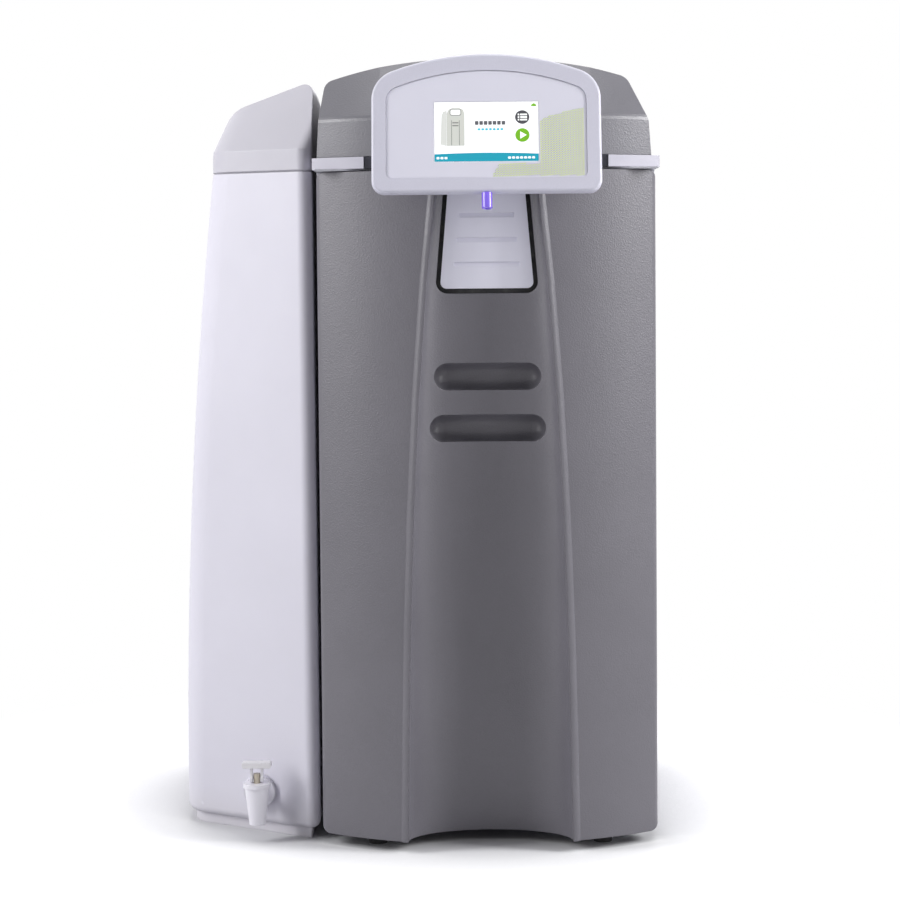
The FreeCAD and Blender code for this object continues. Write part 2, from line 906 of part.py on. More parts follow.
def collar(side, name):
    """The light strip round one side of the cabinet, ending at the dark rail."""
    half = collar_half - s.collar_band
    outer_end = bow_y(s.rail_half, s.collar_overhang)
    inner_end = bow_y(s.rail_half, s.collar_overhang - s.collar_band)
    corners = [
        (s.rail_half, outer_end),
        (collar_half, bow_y(collar_half, s.collar_overhang)),
        (collar_half, s.cabinet_depth),
        (half, s.cabinet_depth),
        (half, bow_y(half, s.collar_overhang - s.collar_band)),
        (s.rail_half, inner_end),
    ]
    arcs = {0: (bow_radius + s.collar_overhang, 1), 4: (bow_radius + s.collar_overhang - s.collar_band, -1)}
    if side < 0:
        corners = [(-x, y) for x, y in reversed(corners)]
        arcs = {4: (arcs[0][0], 1), 0: (arcs[4][0], -1)}
    body, pad = padded(f"collar_{name}_body", "XY", corners, s.collar_height, arcs)
    return node(place(body, 0.0, 0.0, collar_z), f"collar_{name}")


collar(-1, "left")
collar(1, "right")

node(
    box(
        "rail_block",
        (-s.rail_half + s.fit_gap, s.rail_half - s.fit_gap),
        (rail_front, rail_front + s.rail_depth),
        (collar_z, collar_top),
    ),
    "display_rail",
)

deck_front = rail_front + s.rail_depth / 4
deck_plate = box("deck_plate", (-panel_half, panel_half), (deck_front, s.cabinet_depth), (deck_z, collar_z))
deck_lip = box(
    "deck_lip",
    (-collar_half + s.collar_band + s.fit_gap, collar_half - s.collar_band - s.fit_gap),
    (panel_rear, s.cabinet_depth),
    (collar_z, collar_top),
)
node(join("deck_union", deck_plate, deck_lip), "top_deck")

# Cabinet

pan_front = panel_front + s.sheet
pan_half = panel_half - s.sheet - s.fit_gap
lug_half = s.foot_half + s.foot_radius + s.collar_gap
pan_corners = [
    (-pan_half, pan_front),
    (-lug_half, pan_front),
    (-lug_half, s.base_front),
    (-s.bay_half, s.base_front),
    (-s.bay_half, pan_front),
    (s.bay_half, pan_front),
    (s.bay_half, s.base_front),
    (lug_half, s.base_front),
    (lug_half, pan_front),
    (pan_half, pan_front),
    (pan_half, panel_rear - s.sheet),
    (-pan_half, panel_rear - s.sheet),
]
pan_plate, pan_pad = padded("base_plate", "XY", pan_corners, s.sheet)
place(pan_plate, 0.0, 0.0, s.base_z)
pan_top = s.base_z + s.sheet
pan_lips = [
    box(f"base_lip_{name}", span, (pan_front, panel_rear - s.sheet), (pan_top, pan_top + s.base_lip))
    for name, span in (
        ("left", (-pan_half, -pan_half + s.sheet)),
        ("right", (pan_half - s.sheet, pan_half)),
    )
]
node(join("base_pan_union", pan_plate, *pan_lips), "base_pan")

for side, name in ((-1, "left"), (1, "right")):
    rim = s.collar_band
    outer = side * panel_half
    inner = side * (panel_half - s.sheet)
    turned_in = side * (panel_half - rim)
    corners = [
        (outer, panel_front),
        (outer, panel_rear),
        (turned_in, panel_rear),
        (turned_in, panel_rear - s.sheet),
        (inner, panel_rear - s.sheet),
        (inner, panel_front + s.sheet),
        (turned_in, panel_front + s.sheet),
        (turned_in, panel_front),
    ]
    if side > 0:
        corners = list(reversed(corners))
    body, pad = padded(f"side_{name}_body", "XY", corners, deck_z - s.base_z)
    node(place(body, 0.0, 0.0, s.base_z), f"side_panel_{name}")

back_plate = box("back_plate", (-panel_half, panel_half), (panel_rear, s.cabinet_depth), (s.base_z, deck_z))
slots = [
    box(
        f"vent_slot_{count}",
        (-s.vent_width / 2, s.vent_width / 2),
        (panel_rear - s.sheet, s.cabinet_depth + s.sheet),
        (s.vent_z + count * s.vent_pitch, s.vent_z + count * s.vent_pitch + s.vent_height),
    )
    for count in range(VENTS)
]
node(cut("back_panel_cut", back_plate, *slots), "back_panel")

for depth, row in ((s.foot_front, "front"), (s.cabinet_depth - s.foot_rear_inset, "rear")):
    for side, name in ((-1, "left"), (1, "right")):
        foot = cone(
            f"foot_{row}_{name}_body", "Z", s.foot_tip_radius, s.foot_radius,
            (side * s.foot_half, depth, 0.0), s.base_z,
        )
        node(foot, f"foot_{row}_{name}")

# Hood

barrel_y = s.cabinet_depth + s.barrel_radius + s.fit_gap
barrel_z = hood_z + s.barrel_rise
hood_floor = float(hood_z)
fold_z = float(collar_top + s.hood_fold_rise)
hood_rear = float(s.cabinet_depth - s.hood_inset)
arch_heart = -float(s.hood_arch_shift)


def arch_spot(x, inset):
    """A spot on the hood's arched top edge as seen from the front."""
    radius = float(s.hood_arch_radius)
    rise = math.sqrt((radius - inset) ** 2 - (x - arch_heart) ** 2)
    return Vector(x, 0, float(s.hood_peak_z) - radius + rise)


def hood_block(inset):
    """The hood's outer form moved in by an inset, open below where it is moved in."""
    radius = radius_of_bow - float(s.hood_inset) - inset
    left_foot = float(door_half - s.hood_inset) - inset
    right_foot = float(door_half - s.hood_right_inset) - inset
    flat = float(s.hood_flat_half)
    rear = hood_rear - inset
    low = hood_floor - (overrun if inset else 0)
    high = float(s.hood_peak_z) + overrun

    def bow(x):
        return radius_of_bow - math.sqrt(radius * radius - x * x)

    def arc(first, last, z):
        middle_x = (first + last) / 2
        spots = [Vector(x, bow(x), z) for x in (first, middle_x, last)]
        return Part.Arc(*spots).toShape()

    def plan(z):
        return face_of([
            arc(-left_foot, -flat, z),
            line((-flat, bow(flat), z), (flat, bow(flat), z)),
            arc(flat, right_foot, z),
            line((right_foot, bow(right_foot), z), (right_foot, rear, z)),
            line((right_foot, rear, z), (-left_foot, rear, z)),
            line((-left_foot, rear, z), (-left_foot, bow(left_foot), z)),
        ])

    slope = Vector(0, float(s.hood_slope_run), float(s.hood_slope_rise))
    bend = slope.getAngle(Vector(0, 0, 1))
    fold = fold_z - inset * math.tan(bend / 2)
    bend_radius = float(s.hood_fold_radius) - inset
    facet = bend_radius * math.tan(bend / (2 * FOLD_FACETS + 2))
    z = fold - bend_radius * math.tan(bend / 2) + facet
    block = plan(low).extrude(Vector(0, 0, z - low))
    shift = Vector()
    for count in range(1, FOLD_FACETS + 1):
        turn = bend * count / (FOLD_FACETS + 1)
        step = Vector(0, math.sin(turn), math.cos(turn)) * 2 * facet
        slab = plan(z)
        slab.translate(shift)
        block = block.fuse(slab.extrude(step))
        shift += Vector(0, step.y, 0)
        z += step.z
    slab = plan(z)
    slab.translate(shift)
    block = block.fuse(slab.extrude(slope * ((high - z) / slope.z))).removeSplitter()
    left = -float(s.left_shoulder_half) + inset
    right = float(s.right_shoulder_half) - inset
    knee = float(s.right_knee_half) - inset
    knee_z = float(s.right_knee_z)
    base = Part.makePolygon([
        Vector(-left_foot, 0, low),
        Vector(right_foot, 0, low),
        Vector(right_foot, 0, hood_floor),
        Vector(knee, 0, knee_z),
        arch_spot(right, inset),
    ])
    crown = Part.Arc(*[arch_spot(x, inset) for x in (right, arch_heart, left)]).toShape()
    left_side = Part.makePolygon([
        arch_spot(left, inset),
        Vector(-left_foot + float(s.hood_left_lean), 0, fold),
        Vector(-left_foot, 0, hood_floor),
        Vector(-left_foot, 0, low),
    ])
    front = Part.Face(Part.Wire(base.Edges + [crown] + left_side.Edges)).extrude(Vector(0, rear, 0))
    for x, size in (
        (left, s.left_shoulder_radius),
        (right, s.right_shoulder_radius),
        (knee, s.right_knee_radius),
    ):
        corner = [
            edge for edge in front.Edges
            if abs(edge.Vertexes[-1].Y - edge.Vertexes[0].Y) > rear / 2
            and abs(middle(edge).x - x) < float(s.fit_gap)
        ]
        front = front.makeFillet(float(size) - inset, corner)
    drop = float(s.hood_rear_drop)
    peak_y = float(rail_front + s.hood_slope_run)
    side = Part.Face(Part.makePolygon([
        Vector(-float(collar_half), -overrun, low),
        Vector(-float(collar_half), rear, low),
        Vector(-float(collar_half), rear, float(s.hood_peak_z) - inset - drop),
        Vector(-float(collar_half), peak_y, float(s.hood_peak_z) - inset),
        Vector(-float(collar_half), -overrun, float(s.hood_peak_z) - inset),
        Vector(-float(collar_half), -overrun, low),
    ])).extrude(Vector(2 * float(collar_half), 0, 0))
    rear_radius = float(s.hood_rear_radius) - inset
    brow = [
        edge for edge in side.Edges
        if edge.BoundBox.YMin > rear - float(s.fit_gap)
        and edge.BoundBox.XLength > float(collar_half)
        and middle(edge).z > fold
    ]
    tower = face_of(rounded_edges(
        [(-left_foot, 0), (right_foot, 0), (right_foot, rear), (-left_foot, rear)], [0, 0, rear_radius, rear_radius]
    )).extrude(Vector(0, 0, high - low))
    tower.translate(Vector(0, 0, low))
    return block.common(front).common(side.makeFillet(rear_radius, brow)).common(tower)


def top_hood():
    """The hood's shell with its hinge knuckles, two beside each fixed one."""
    shell = hood_block(0).cut(hood_block(float(s.hood_wall)))
    heart = Vector(0, float(barrel_y), float(barrel_z))
    radius = float(s.barrel_radius)
    length = float(s.knuckle_length) / 2
    across = Vector(1, 0, 0)
    for side in (-1, 1):
        for way in (-1, 1):
            near = side * float(s.hood_hinge_half) + way * (length + float(s.knuckle_gap))
            start = Vector(min(near, near + way * length), heart.y, heart.z)
            barrel = Part.makeCylinder(radius, length, start, across)
            web = Part.makeBox(
                length, heart.y - hood_rear + float(s.hood_wall) / 2, radius,
                Vector(start.x, hood_rear - float(s.hood_wall) / 2, heart.z),
            )
            bore = Part.makeCylinder(float(s.hood_pin_radius + s.fit_gap), length, start, across)
            shell = shell.fuse([web, barrel]).cut(bore)
    return shell


solid("top_hood", top_hood())

# Hood hinge at the back

for side, name in ((-1, "left"), (1, "right")):
    heart_x = side * s.hood_hinge_half
    half = s.knuckle_length / 2
    leaf = box(
        f"leaf_{name}",
        (heart_x - half, heart_x + half),
        (s.cabinet_depth, s.cabinet_depth + s.sheet),
        (barrel_z - s.leaf_drop, barrel_z),
    )
    barrel = rod(f"barrel_{name}", "X", s.barrel_radius, (heart_x - half, barrel_y, barrel_z), s.knuckle_length)
    reach = s.knuckle_length + s.knuckle_gap
    pin = rod(f"hood_pin_{name}", "X", s.hood_pin_radius, (heart_x - reach, barrel_y, barrel_z), 2 * reach)
    node(join(f"hood_hinge_{name}_union", leaf, barrel, pin), f"hood_hinge_{name}")

# Display head

head_thickness = s.bezel_depth + s.back_depth
lean_back = Rotation(Vector(1, 0, 0), -float(s.head_tilt))


def on_head(depth, rise):
    """Depth and height of a spot in the leaning head, from its front face and its foot."""
    y = depth * cosine(s.head_tilt) + rise * sine(s.head_tilt) - s.head_reach
    z = s.head_foot_z + rise * cosine(s.head_tilt) - depth * sine(s.head_tilt)
    return y, z


def arched(width, foot, peak, radius):
    """A panel outline with an arched top edge."""
    half = width / 2
    side = peak - radius + root(radius * radius - half * half)
    return [(-half, foot), (half, foot), (half, side), (-half, side)], {2: (radius, 1)}


def arched_panel(name, width, foot, peak, radius, depth, corner_radius, shoulder_radius):
    corners, arcs = arched(width, foot, peak, radius)
    body, pad = padded(name + "_body", "XZ", corners, depth, arcs, toward_back=True)
    rounded(body, name + "_feet", corner_radius, standing_at("XZ", corners[:2]))
    rounded(body, name + "_shoulders", shoulder_radius, standing_at("XZ", corners[2:]))
    return body


def lies_at(depth):
    """A test for the edges of the head's outline at one depth."""

    def test(edge):
        bounds = edge.BoundBox
        return max(abs(bounds.YMin - float(depth)), abs(bounds.YMax - float(depth))) < float(s.fit_gap) / 10

    return test


none = Size(0.0, "0")
fascia_width = s.head_width - 2 * s.bezel_rim_x
fascia_peak = s.head_height - s.bezel_rim_top

bezel = arched_panel(
    "display_bezel", s.head_width, none, s.head_height, s.head_arch_radius,
    s.bezel_depth, s.head_corner_radius, s.head_shoulder_radius,
)
rounded(bezel, "bezel_front_edge", s.bezel_edge_radius, lies_at(none))
seat_corners, seat_arcs = arched(
    fascia_width + 2 * s.fit_gap,
    s.bezel_rim_foot - s.fit_gap,
    fascia_peak + s.fit_gap,
    s.fascia_arch_radius + s.fit_gap,
)
pocketed(bezel, "fascia_seat", "XZ", seat_corners, s.fascia_sink + s.fascia_depth, seat_arcs)
rounded(bezel, "seat_feet", s.fascia_corner_radius + s.fit_gap, standing_at("XZ", seat_corners[:2]))
rounded(bezel, "seat_shoulders", s.fascia_shoulder_radius + s.fit_gap, standing_at("XZ", seat_corners[2:]))
node(place(bezel, 0.0, *on_head(none, none), lean_back), "display_bezel")

fascia = arched_panel(
    "display_fascia", fascia_width, s.bezel_rim_foot, fascia_peak, s.fascia_arch_radius,
    s.fascia_depth, s.fascia_corner_radius, s.fascia_shoulder_radius,
)
window_half = s.screen_width / 2 + s.fit_gap
window_low = s.screen_foot - s.fit_gap
window_high = s.screen_foot + s.screen_height + s.fit_gap
window = [
    (-window_half, window_low),
    (window_half, window_low),
    (window_half, window_high),
    (-window_half, window_high),
]
pocketed(fascia, "screen_window", "XZ", window, s.fascia_depth)
node(place(fascia, 0.0, *on_head(s.fascia_sink, none), lean_back), "display_fascia")

screen_corners = [
    (-s.screen_width / 2, s.screen_foot),
    (s.screen_width / 2, s.screen_foot),
    (s.screen_width / 2, s.screen_foot + s.screen_height),
    (-s.screen_width / 2, s.screen_foot + s.screen_height),
]
screen, screen_pad = padded("touch_screen_body", "XZ", screen_corners, s.screen_depth, toward_back=True)
screen_front = s.fascia_sink + s.fascia_depth - s.screen_depth
node(place(screen, 0.0, *on_head(screen_front, none), lean_back), "touch_screen")

back = arched_panel(
    "display_back", s.head_width - 2 * s.back_inset, s.back_inset, s.head_height - s.back_inset,
    s.head_arch_radius - s.back_inset, s.back_depth,
    s.head_corner_radius - s.back_inset, s.head_shoulder_radius - s.back_inset,
)
rounded(back, "back_rear_edge", s.back_edge_radius, lies_at(s.back_depth))
node(place(back, 0.0, *on_head(s.bezel_depth, none), lean_back), "display_back")

arm_bottom = collar_z + s.arm_clearance
low_rise = (arm_bottom - s.head_foot_z + head_thickness * sine(s.head_tilt)) / cosine(s.head_tilt)
hood_front = bow_y(s.hood_flat_half, -s.hood_inset)
arm_corners = [
    (rail_front, arm_bottom),
    (rail_front, collar_top),
    (hood_front - s.arm_clearance, collar_top),
    on_head(head_thickness, low_rise + s.arm_height),
    on_head(head_thickness, low_rise),
]
arm, arm_pad = padded("display_arm_body", "YZ", arm_corners, 2 * s.arm_half)
node(place(arm, -s.arm_half, 0.0, 0.0), "display_arm")

# Dispense nozzle below the head

nozzle_profile = [
    (s.nozzle_bore, none),
    (s.nozzle_radius, none),
    (s.nozzle_radius, s.nozzle_tip - s.nozzle_length),
    (s.nozzle_radius - s.nozzle_tip, -s.nozzle_length),
    (s.nozzle_bore, -s.nozzle_length),
]
nozzle = turned(
    "nozzle_body", nozzle_profile, 0.0, *on_head(s.bezel_depth * s.nozzle_share, none), rotation=lean_back
)
node(nozzle, "dispense_nozzle")

# Tank

seam_z = float(s.seam_z)
tank_rear = float(s.cabinet_depth - s.tank_rear_gap)
tank_edge = float(tank_right)
tank_front = float(s.tank_front)
front_slope = float(s.tank_sweep / s.tank_width)


def tank_corners(width):
    """The tank's plan for a width, its front swept back towards the left."""
    left = tank_edge - float(width)
    return [
        (tank_edge, tank_front),
        (tank_edge, tank_rear),
        (left, tank_rear),
        (left, tank_front + front_slope * float(width)),
    ]


def tank_plan(width, inset, z):
    radii = [float(s.tank_front_radius), float(s.tank_rear_radius), float(s.tank_rear_radius), float(s.tank_left_radius)]
    corners = inset_corners(tank_corners(width), inset) if inset else tank_corners(width)
    least = float(s.spigot_clearance)
    edges = rounded_edges(corners, [max(radius - inset, least) for radius in radii])
    wire = Part.Wire(edges)
    wire.translate(Vector(0, 0, z))
    return wire


plinth = float(s.plinth_height)
tap_place = tank_right - s.tap_side
boss_face = s.tank_front + s.tank_sweep / s.tank_width * (s.tap_side - s.boss_radius) - s.boss_proud
boss_end = boss_face + s.boss_length


def tank_shell(inset, low, high):
    """The tank's form moved in by an inset: its plan stood up, with a bowed left side."""
    corners = tank_corners(s.tank_width)
    if inset:
        corners = inset_corners(corners, inset)
    tower = Part.Face(Part.makePolygon([Vector(*corner, low) for corner in corners + corners[:1]]))
    tower = tower.extrude(Vector(0, 0, high - low))
    stations = ((s.tank_width, plinth), (s.tank_belly_width, float(s.tank_belly_z)), (s.tank_head_width, seam_z))
    bow = Part.Arc(*[Vector(tank_edge - float(width), z, 0) for width, z in stations]).toShape().Curve
    side = Part.makeCylinder(
        bow.Radius - inset, tank_rear + overrun, Vector(bow.Center.x, 0, bow.Center.y), Vector(0, 1, 0)
    )
    block = tower.common(side)
    radii = (s.tank_front_radius, s.tank_rear_radius, s.tank_rear_radius, s.tank_left_radius)
    for index, radius in enumerate(radii):
        corner = [
            edge for edge in block.Edges
            if abs(edge.Vertexes[-1].Z - edge.Vertexes[0].Z) > (high - low) / 2
            and (middle(edge).x > tank_edge - 2 * float(s.tank_wall)) == (index < 2)
            and (middle(edge).y > (tank_front + tank_rear) / 2) == (index in (1, 2))
        ]
        block = block.makeFillet(float(radius) - inset, corner)
    return block


def tank_body():
    thickness = float(s.tank_wall)
    outer = tank_shell(0, plinth, seam_z)
    rim = [edge for edge in outer.Edges if edge.BoundBox.ZMax - plinth < float(s.fit_gap)]
    outer = outer.makeFillet(float(s.tank_edge_radius), rim)
    stand = Part.Face(tank_plan(s.tank_width, float(s.plinth_inset), 0)).extrude(Vector(0, 0, plinth + thickness))
    hollow = tank_shell(thickness, plinth + thickness, seam_z + overrun)
    along = Vector(0, 1, 0)
    boss_length = float(s.boss_length)
    boss_spot = Vector(float(tap_place), float(boss_face), float(s.tap_z))
    boss = Part.makeCylinder(float(s.boss_radius), boss_length, boss_spot, along)
    bore = Part.makeCylinder(float(s.shank_radius + s.fit_gap), boss_length, boss_spot, along)
    return outer.fuse(stand).cut(hollow).fuse(boss).cut(bore)


solid("tank_body", tank_body())


def tank_lid():
    thickness = float(s.tank_wall)
    low = seam_z + float(s.seam_gap)
    inward = Vector(float(s.tank_sweep), float(s.tank_width)).normalize()
    lean = inward * float(s.lid_slope_run) + Vector(0, 0, float(s.lid_slope_rise))

    def form(inset):
        fold = float(s.lid_fold_z) - inset * math.tan(lean.getAngle(inward) / 2)
        top = float(s.lid_ridge_z) + overrun
        foot = low - (overrun if inset else 0)
        plan = tank_plan(s.tank_head_width, inset, foot)
        lower = Part.Face(plan).extrude(Vector(0, 0, fold - foot))
        upper = Part.Face(tank_plan(s.tank_head_width, inset, fold)).extrude(lean * ((top - fold) / lean.z))
        tower = Part.Face(plan).extrude(Vector(0, 0, top - foot))
        left = tank_edge - float(s.tank_head_width)
        corners = [
            (tank_edge, foot),
            (tank_edge, float(s.lid_ridge_z)),
            (tank_edge - float(s.lid_shoulder_width), float(s.lid_shoulder_z)),
            (left, float(s.lid_side_z)),
            (left, foot),
        ]
        if inset:
            corners = inset_corners(corners, inset)
            corners[0] = (corners[0][0], foot)
            corners[-1] = (corners[-1][0], foot)
        bend = float(s.lid_bend_radius) - inset
        radii = [0, float(s.lid_ridge_radius) - inset, bend, bend, 0]
        outline = face_of(upright(rounded_edges(corners, radii))).extrude(Vector(0, tank_rear, 0))
        fall = math.tan(math.radians(float(s.lid_fall)))
        crest = float(s.tank_front) + (float(s.lid_ridge_z) - float(s.lid_fold_z)) * lean.y / lean.z
        peak = float(s.lid_ridge_z) - inset
        side = Part.Face(Part.makePolygon([
            Vector(left, 0, foot),
            Vector(left, tank_rear, foot),
            Vector(left, tank_rear, peak - fall * (tank_rear - crest)),
            Vector(left, 0, peak + fall * crest),
            Vector(left, 0, foot),
        ])).extrude(Vector(tank_edge - left, 0, 0))
        return lower.fuse(upper).removeSplitter().common(tower).common(outline).common(side)

    def ring(outset, inset, bottom, top):
        outer = Part.Face(tank_plan(s.tank_head_width, outset, bottom)).extrude(Vector(0, 0, top - bottom))
        inner = Part.Face(tank_plan(s.tank_head_width, inset, bottom)).extrude(Vector(0, 0, top - bottom))
        return outer.cut(inner)

    shell = form(0).cut(form(thickness))
    rebate = ring(-overrun, float(s.seam_rebate), low, low + float(s.seam_rebate))
    clearance = thickness + float(s.spigot_clearance)
    spigot = ring(clearance, clearance + thickness / 2, seam_z - float(s.spigot_depth), low + thickness)
    seat = ring(thickness / 2, clearance + thickness / 2, low, low + thickness)
    return shell.cut(rebate).fuse([seat, spigot])


solid("tank_lid", tank_lid())

# Draw-off tap on the tank

barrel_middle = boss_face - s.flange_depth - s.barrel_reach
shank_length = boss_end + s.nut_depth + s.flange_depth - barrel_middle

guide_radius = s.stem_radius + s.fit_gap
outlet_top = s.barrel_foot_z + s.outlet_length
barrel_profile = [
    (guide_radius, s.barrel_foot_z),
    (s.barrel_foot_radius, s.barrel_foot_z),
    (s.barrel_top_radius - s.barrel_lip, s.barrel_top_z - s.barrel_rim),
    (s.barrel_top_radius, s.barrel_top_z - s.barrel_rim),
    (s.barrel_top_radius, s.barrel_top_z),
    (guide_radius, s.barrel_top_z),
]
barrel = turned("tap_barrel", barrel_profile, tap_place, barrel_middle, 0.0)
shank = rod("tap_shank", "Y", s.shank_radius, (tap_place, barrel_middle, s.tap_z), shank_length)
flange = rod(
    "tap_flange_disc", "Y", s.flange_radius, (tap_place, boss_face - s.flange_depth, s.tap_z), s.flange_depth
)
outlet = rod("tap_outlet_bore", "Z", s.tap_bore, (tap_place, barrel_middle, s.barrel_foot_z), s.outlet_length)
guide = rod(
    "tap_guide_bore", "Z", guide_radius, (tap_place, barrel_middle, outlet_top), s.barrel_top_z - outlet_top
)
way_in = rod("tap_way_in", "Y", s.tap_bore, (tap_place, barrel_middle, s.tap_z), shank_length)
node(cut("tap_body_cut", join("tap_body_union", barrel, shank, flange), outlet, guide, way_in), "tap_body")

nut = rod("tap_nut_disc", "Y", s.nut_radius, (tap_place, boss_end, s.tap_z), s.nut_depth)
nut_hole = rod("tap_nut_hole", "Y", s.shank_radius + s.fit_gap, (tap_place, boss_end, s.tap_z), s.nut_depth)
node(cut("tap_nut_cut", nut, nut_hole), "tap_nut")

pin_gap = s.lever_pin_radius + s.fit_gap
stem_foot = s.stem_top_z - s.stem_foot_drop
stem_rod = rod("stem_rod", "Z", s.stem_radius, (tap_place, barrel_middle, stem_foot), s.stem_foot_drop)
stem_slot = box(
    "stem_slot",
    (tap_place - s.stem_radius, tap_place + s.stem_radius),
    (barrel_middle - pin_gap, barrel_middle + pin_gap),
    (s.lever_pin_z - pin_gap - s.stem_travel, s.lever_pin_z + pin_gap),
)
node(cut("tap_stem_cut", stem_rod, stem_slot), "tap_stem")

leg_inner = s.stem_radius + s.lever_leg_gap
leg_outer = leg_inner + s.lever_leg
paddle_foot = s.paddle_top_z - s.paddle_height
eye_radius = s.lever_pin_z - s.barrel_top_z - s.fit_gap
lever_parts = []
for side, name in ((-1, "left"), (1, "right")):
    span = (leg_inner, leg_outer) if side > 0 else (-leg_outer, -leg_inner)
    lever_parts.append(
        box(
            f"lever_leg_{name}",
            (tap_place + span[0], tap_place + span[1]),
            (barrel_middle - s.lever_leg_depth / 2, barrel_middle + s.lever_leg_depth / 2),
            (s.lever_pin_z, paddle_foot),
        )
    )
    eye_start = (tap_place + span[0], barrel_middle, s.lever_pin_z)
    lever_parts.append(rod(f"lever_eye_{name}", "X", eye_radius, eye_start, s.lever_leg))
lever_parts.append(
    rod(
        "lever_pin", "X", s.lever_pin_radius,
        (tap_place - leg_outer, barrel_middle, s.lever_pin_z), 2 * leg_outer,
    )
)
paddle_corners = [
    (-s.paddle_width / 2, paddle_foot),
    (s.paddle_width / 2, paddle_foot),
    (s.paddle_width / 2, s.paddle_top_z),
    (-s.paddle_width / 2, s.paddle_top_z),
]
paddle, paddle_pad = padded("lever_paddle", "XZ", paddle_corners, s.paddle_depth, toward_back=True)
rounded(paddle, "paddle_corners", s.paddle_height / 3, standing_at("XZ", paddle_corners))
lever_parts.append(place(paddle, tap_place, barrel_middle - s.paddle_depth / 2, 0.0))
node(join("tap_lever_union", *lever_parts), "tap_lever")

# Equipment behind the door

inner_half = pan_half - s.sheet - s.fit_gap
plate_front = s.plate_back - s.sheet
plate = box("plate_sheet", (-inner_half, inner_half), (plate_front, s.plate_back), (pan_top, deck_z - s.fit_gap))
plate_parts = [plate]
vessel_y = plate_front - s.saddle_depth - s.vessel_radius
vessel_xs = [s.vessel_first_x + count * s.vessel_pitch for count in range(2)]
saddle_clearances = []
for count, vessel_x in enumerate(vessel_xs, start=1):
    for part, saddle_share in (("low", SADDLE_LOW_SHARE), ("high", SADDLE_HIGH_SHARE)):
        saddle_z = s.vessel_foot_z + s.vessel_length * saddle_share
        plate_parts.append(
            box(
                f"saddle_{part}_{count}",
                (vessel_x - s.saddle_width / 2, vessel_x + s.saddle_width / 2),
                (vessel_y + s.vessel_radius / 2, plate_front),
                (saddle_z, saddle_z + s.saddle_height),
            )
        )
    saddle_clearances.append(
        rod(
            f"saddle_hollow_{count}", "Z", s.vessel_radius + s.fit_gap,
            (vessel_x, vessel_y, s.vessel_foot_z), s.vessel_length,
        )
    )
    tube = rod(f"vessel_tube_{count}", "Z", s.vessel_radius, (vessel_x, vessel_y, s.vessel_foot_z), s.vessel_length)
    foot_cap = rod(
        f"vessel_foot_cap_{count}", "Z", s.cap_radius,
        (vessel_x, vessel_y, s.vessel_foot_z - s.cap_height), s.cap_height,
    )
    head_cap = rod(
        f"vessel_head_cap_{count}", "Z", s.cap_radius,
        (vessel_x, vessel_y, s.vessel_foot_z + s.vessel_length), s.cap_height,
    )
    node(tube, f"membrane_vessel_{count}")
    node(foot_cap, f"vessel_foot_cap_{count}")
    node(head_cap, f"vessel_head_cap_{count}")

manifold_foot = s.cartridge_foot_z + s.cartridge_length + s.neck_height
manifold_x = s.cartridge_first_x + s.cartridge_pitch / 2
cartridge_y = plate_front - s.manifold_depth / 2 - s.neck_radius
for count in range(2):
    cartridge_x = s.cartridge_first_x + count * s.cartridge_pitch
    profile = [
        (none, none),
        (s.cartridge_radius - s.cartridge_chamfer, none),
        (s.cartridge_radius, s.cartridge_chamfer),
        (s.cartridge_radius, s.cartridge_length - s.cartridge_shoulder),
        (s.neck_radius, s.cartridge_length),
        (s.neck_radius, s.cartridge_length + s.neck_height),
        (none, s.cartridge_length + s.neck_height),
    ]
    cartridge = turned(f"cartridge_{count + 1}_body", profile, cartridge_x, cartridge_y, s.cartridge_foot_z)
    node(cartridge, f"purification_cartridge_{count + 1}")
manifold_front = cartridge_y - s.neck_radius - s.collar_gap
manifold_corners = [
    (manifold_x - s.manifold_width / 2, manifold_front),
    (manifold_x + s.manifold_width / 2, manifold_front),
    (manifold_x + s.manifold_width / 2, plate_front),
    (manifold_x - s.manifold_width / 2, plate_front),
]
manifold, manifold_pad = padded("manifold_block", "XY", manifold_corners, s.manifold_height)
rounded(manifold, "manifold_front_corners", s.neck_radius / 2, standing_at("XY", manifold_corners[:2]))
node(place(manifold, 0.0, 0.0, manifold_foot), "cartridge_manifold")

node(cut("mounting_plate_cut", join("mounting_plate_union", *plate_parts), *saddle_clearances), "mounting_plate")

motor_z = pan_top + s.cradle_height + s.motor_radius
motor_start = s.pump_x + s.pump_length
node(rod("motor_can", "X", s.motor_radius, (motor_start, s.pump_back, motor_z), s.motor_length), "pump_motor")
node(rod("pump_case", "X", s.pump_radius, (s.pump_x, s.pump_back, motor_z), s.pump_length), "booster_pump")
cradle = box(
    "cradle_block",
    (motor_start + s.cradle_height, motor_start + s.motor_length - s.cradle_height),
    (s.pump_back - s.motor_radius * SADDLE_HALF_SHARE, s.pump_back + s.motor_radius * SADDLE_HALF_SHARE),
    (pan_top, motor_z - s.motor_radius * SADDLE_HALF_SHARE),
)
cradle_hollow = rod(
    "cradle_hollow", "X", s.motor_radius + s.fit_gap, (motor_start, s.pump_back, motor_z), s.motor_length
)
node(cut("motor_cradle_cut", cradle, cradle_hollow), "motor_cradle")

# Bracket that holds the tank against the cabinet

node(
    box(
        "bracket_block",
        (tank_right + s.fit_gap, -panel_half),
        (s.tank_bracket_back, s.tank_bracket_back + s.tank_bracket_length),
        (s.tank_bracket_z, s.tank_bracket_z + s.tank_bracket_height),
    ),
    "tank_bracket",
)

# Equipment under the hood

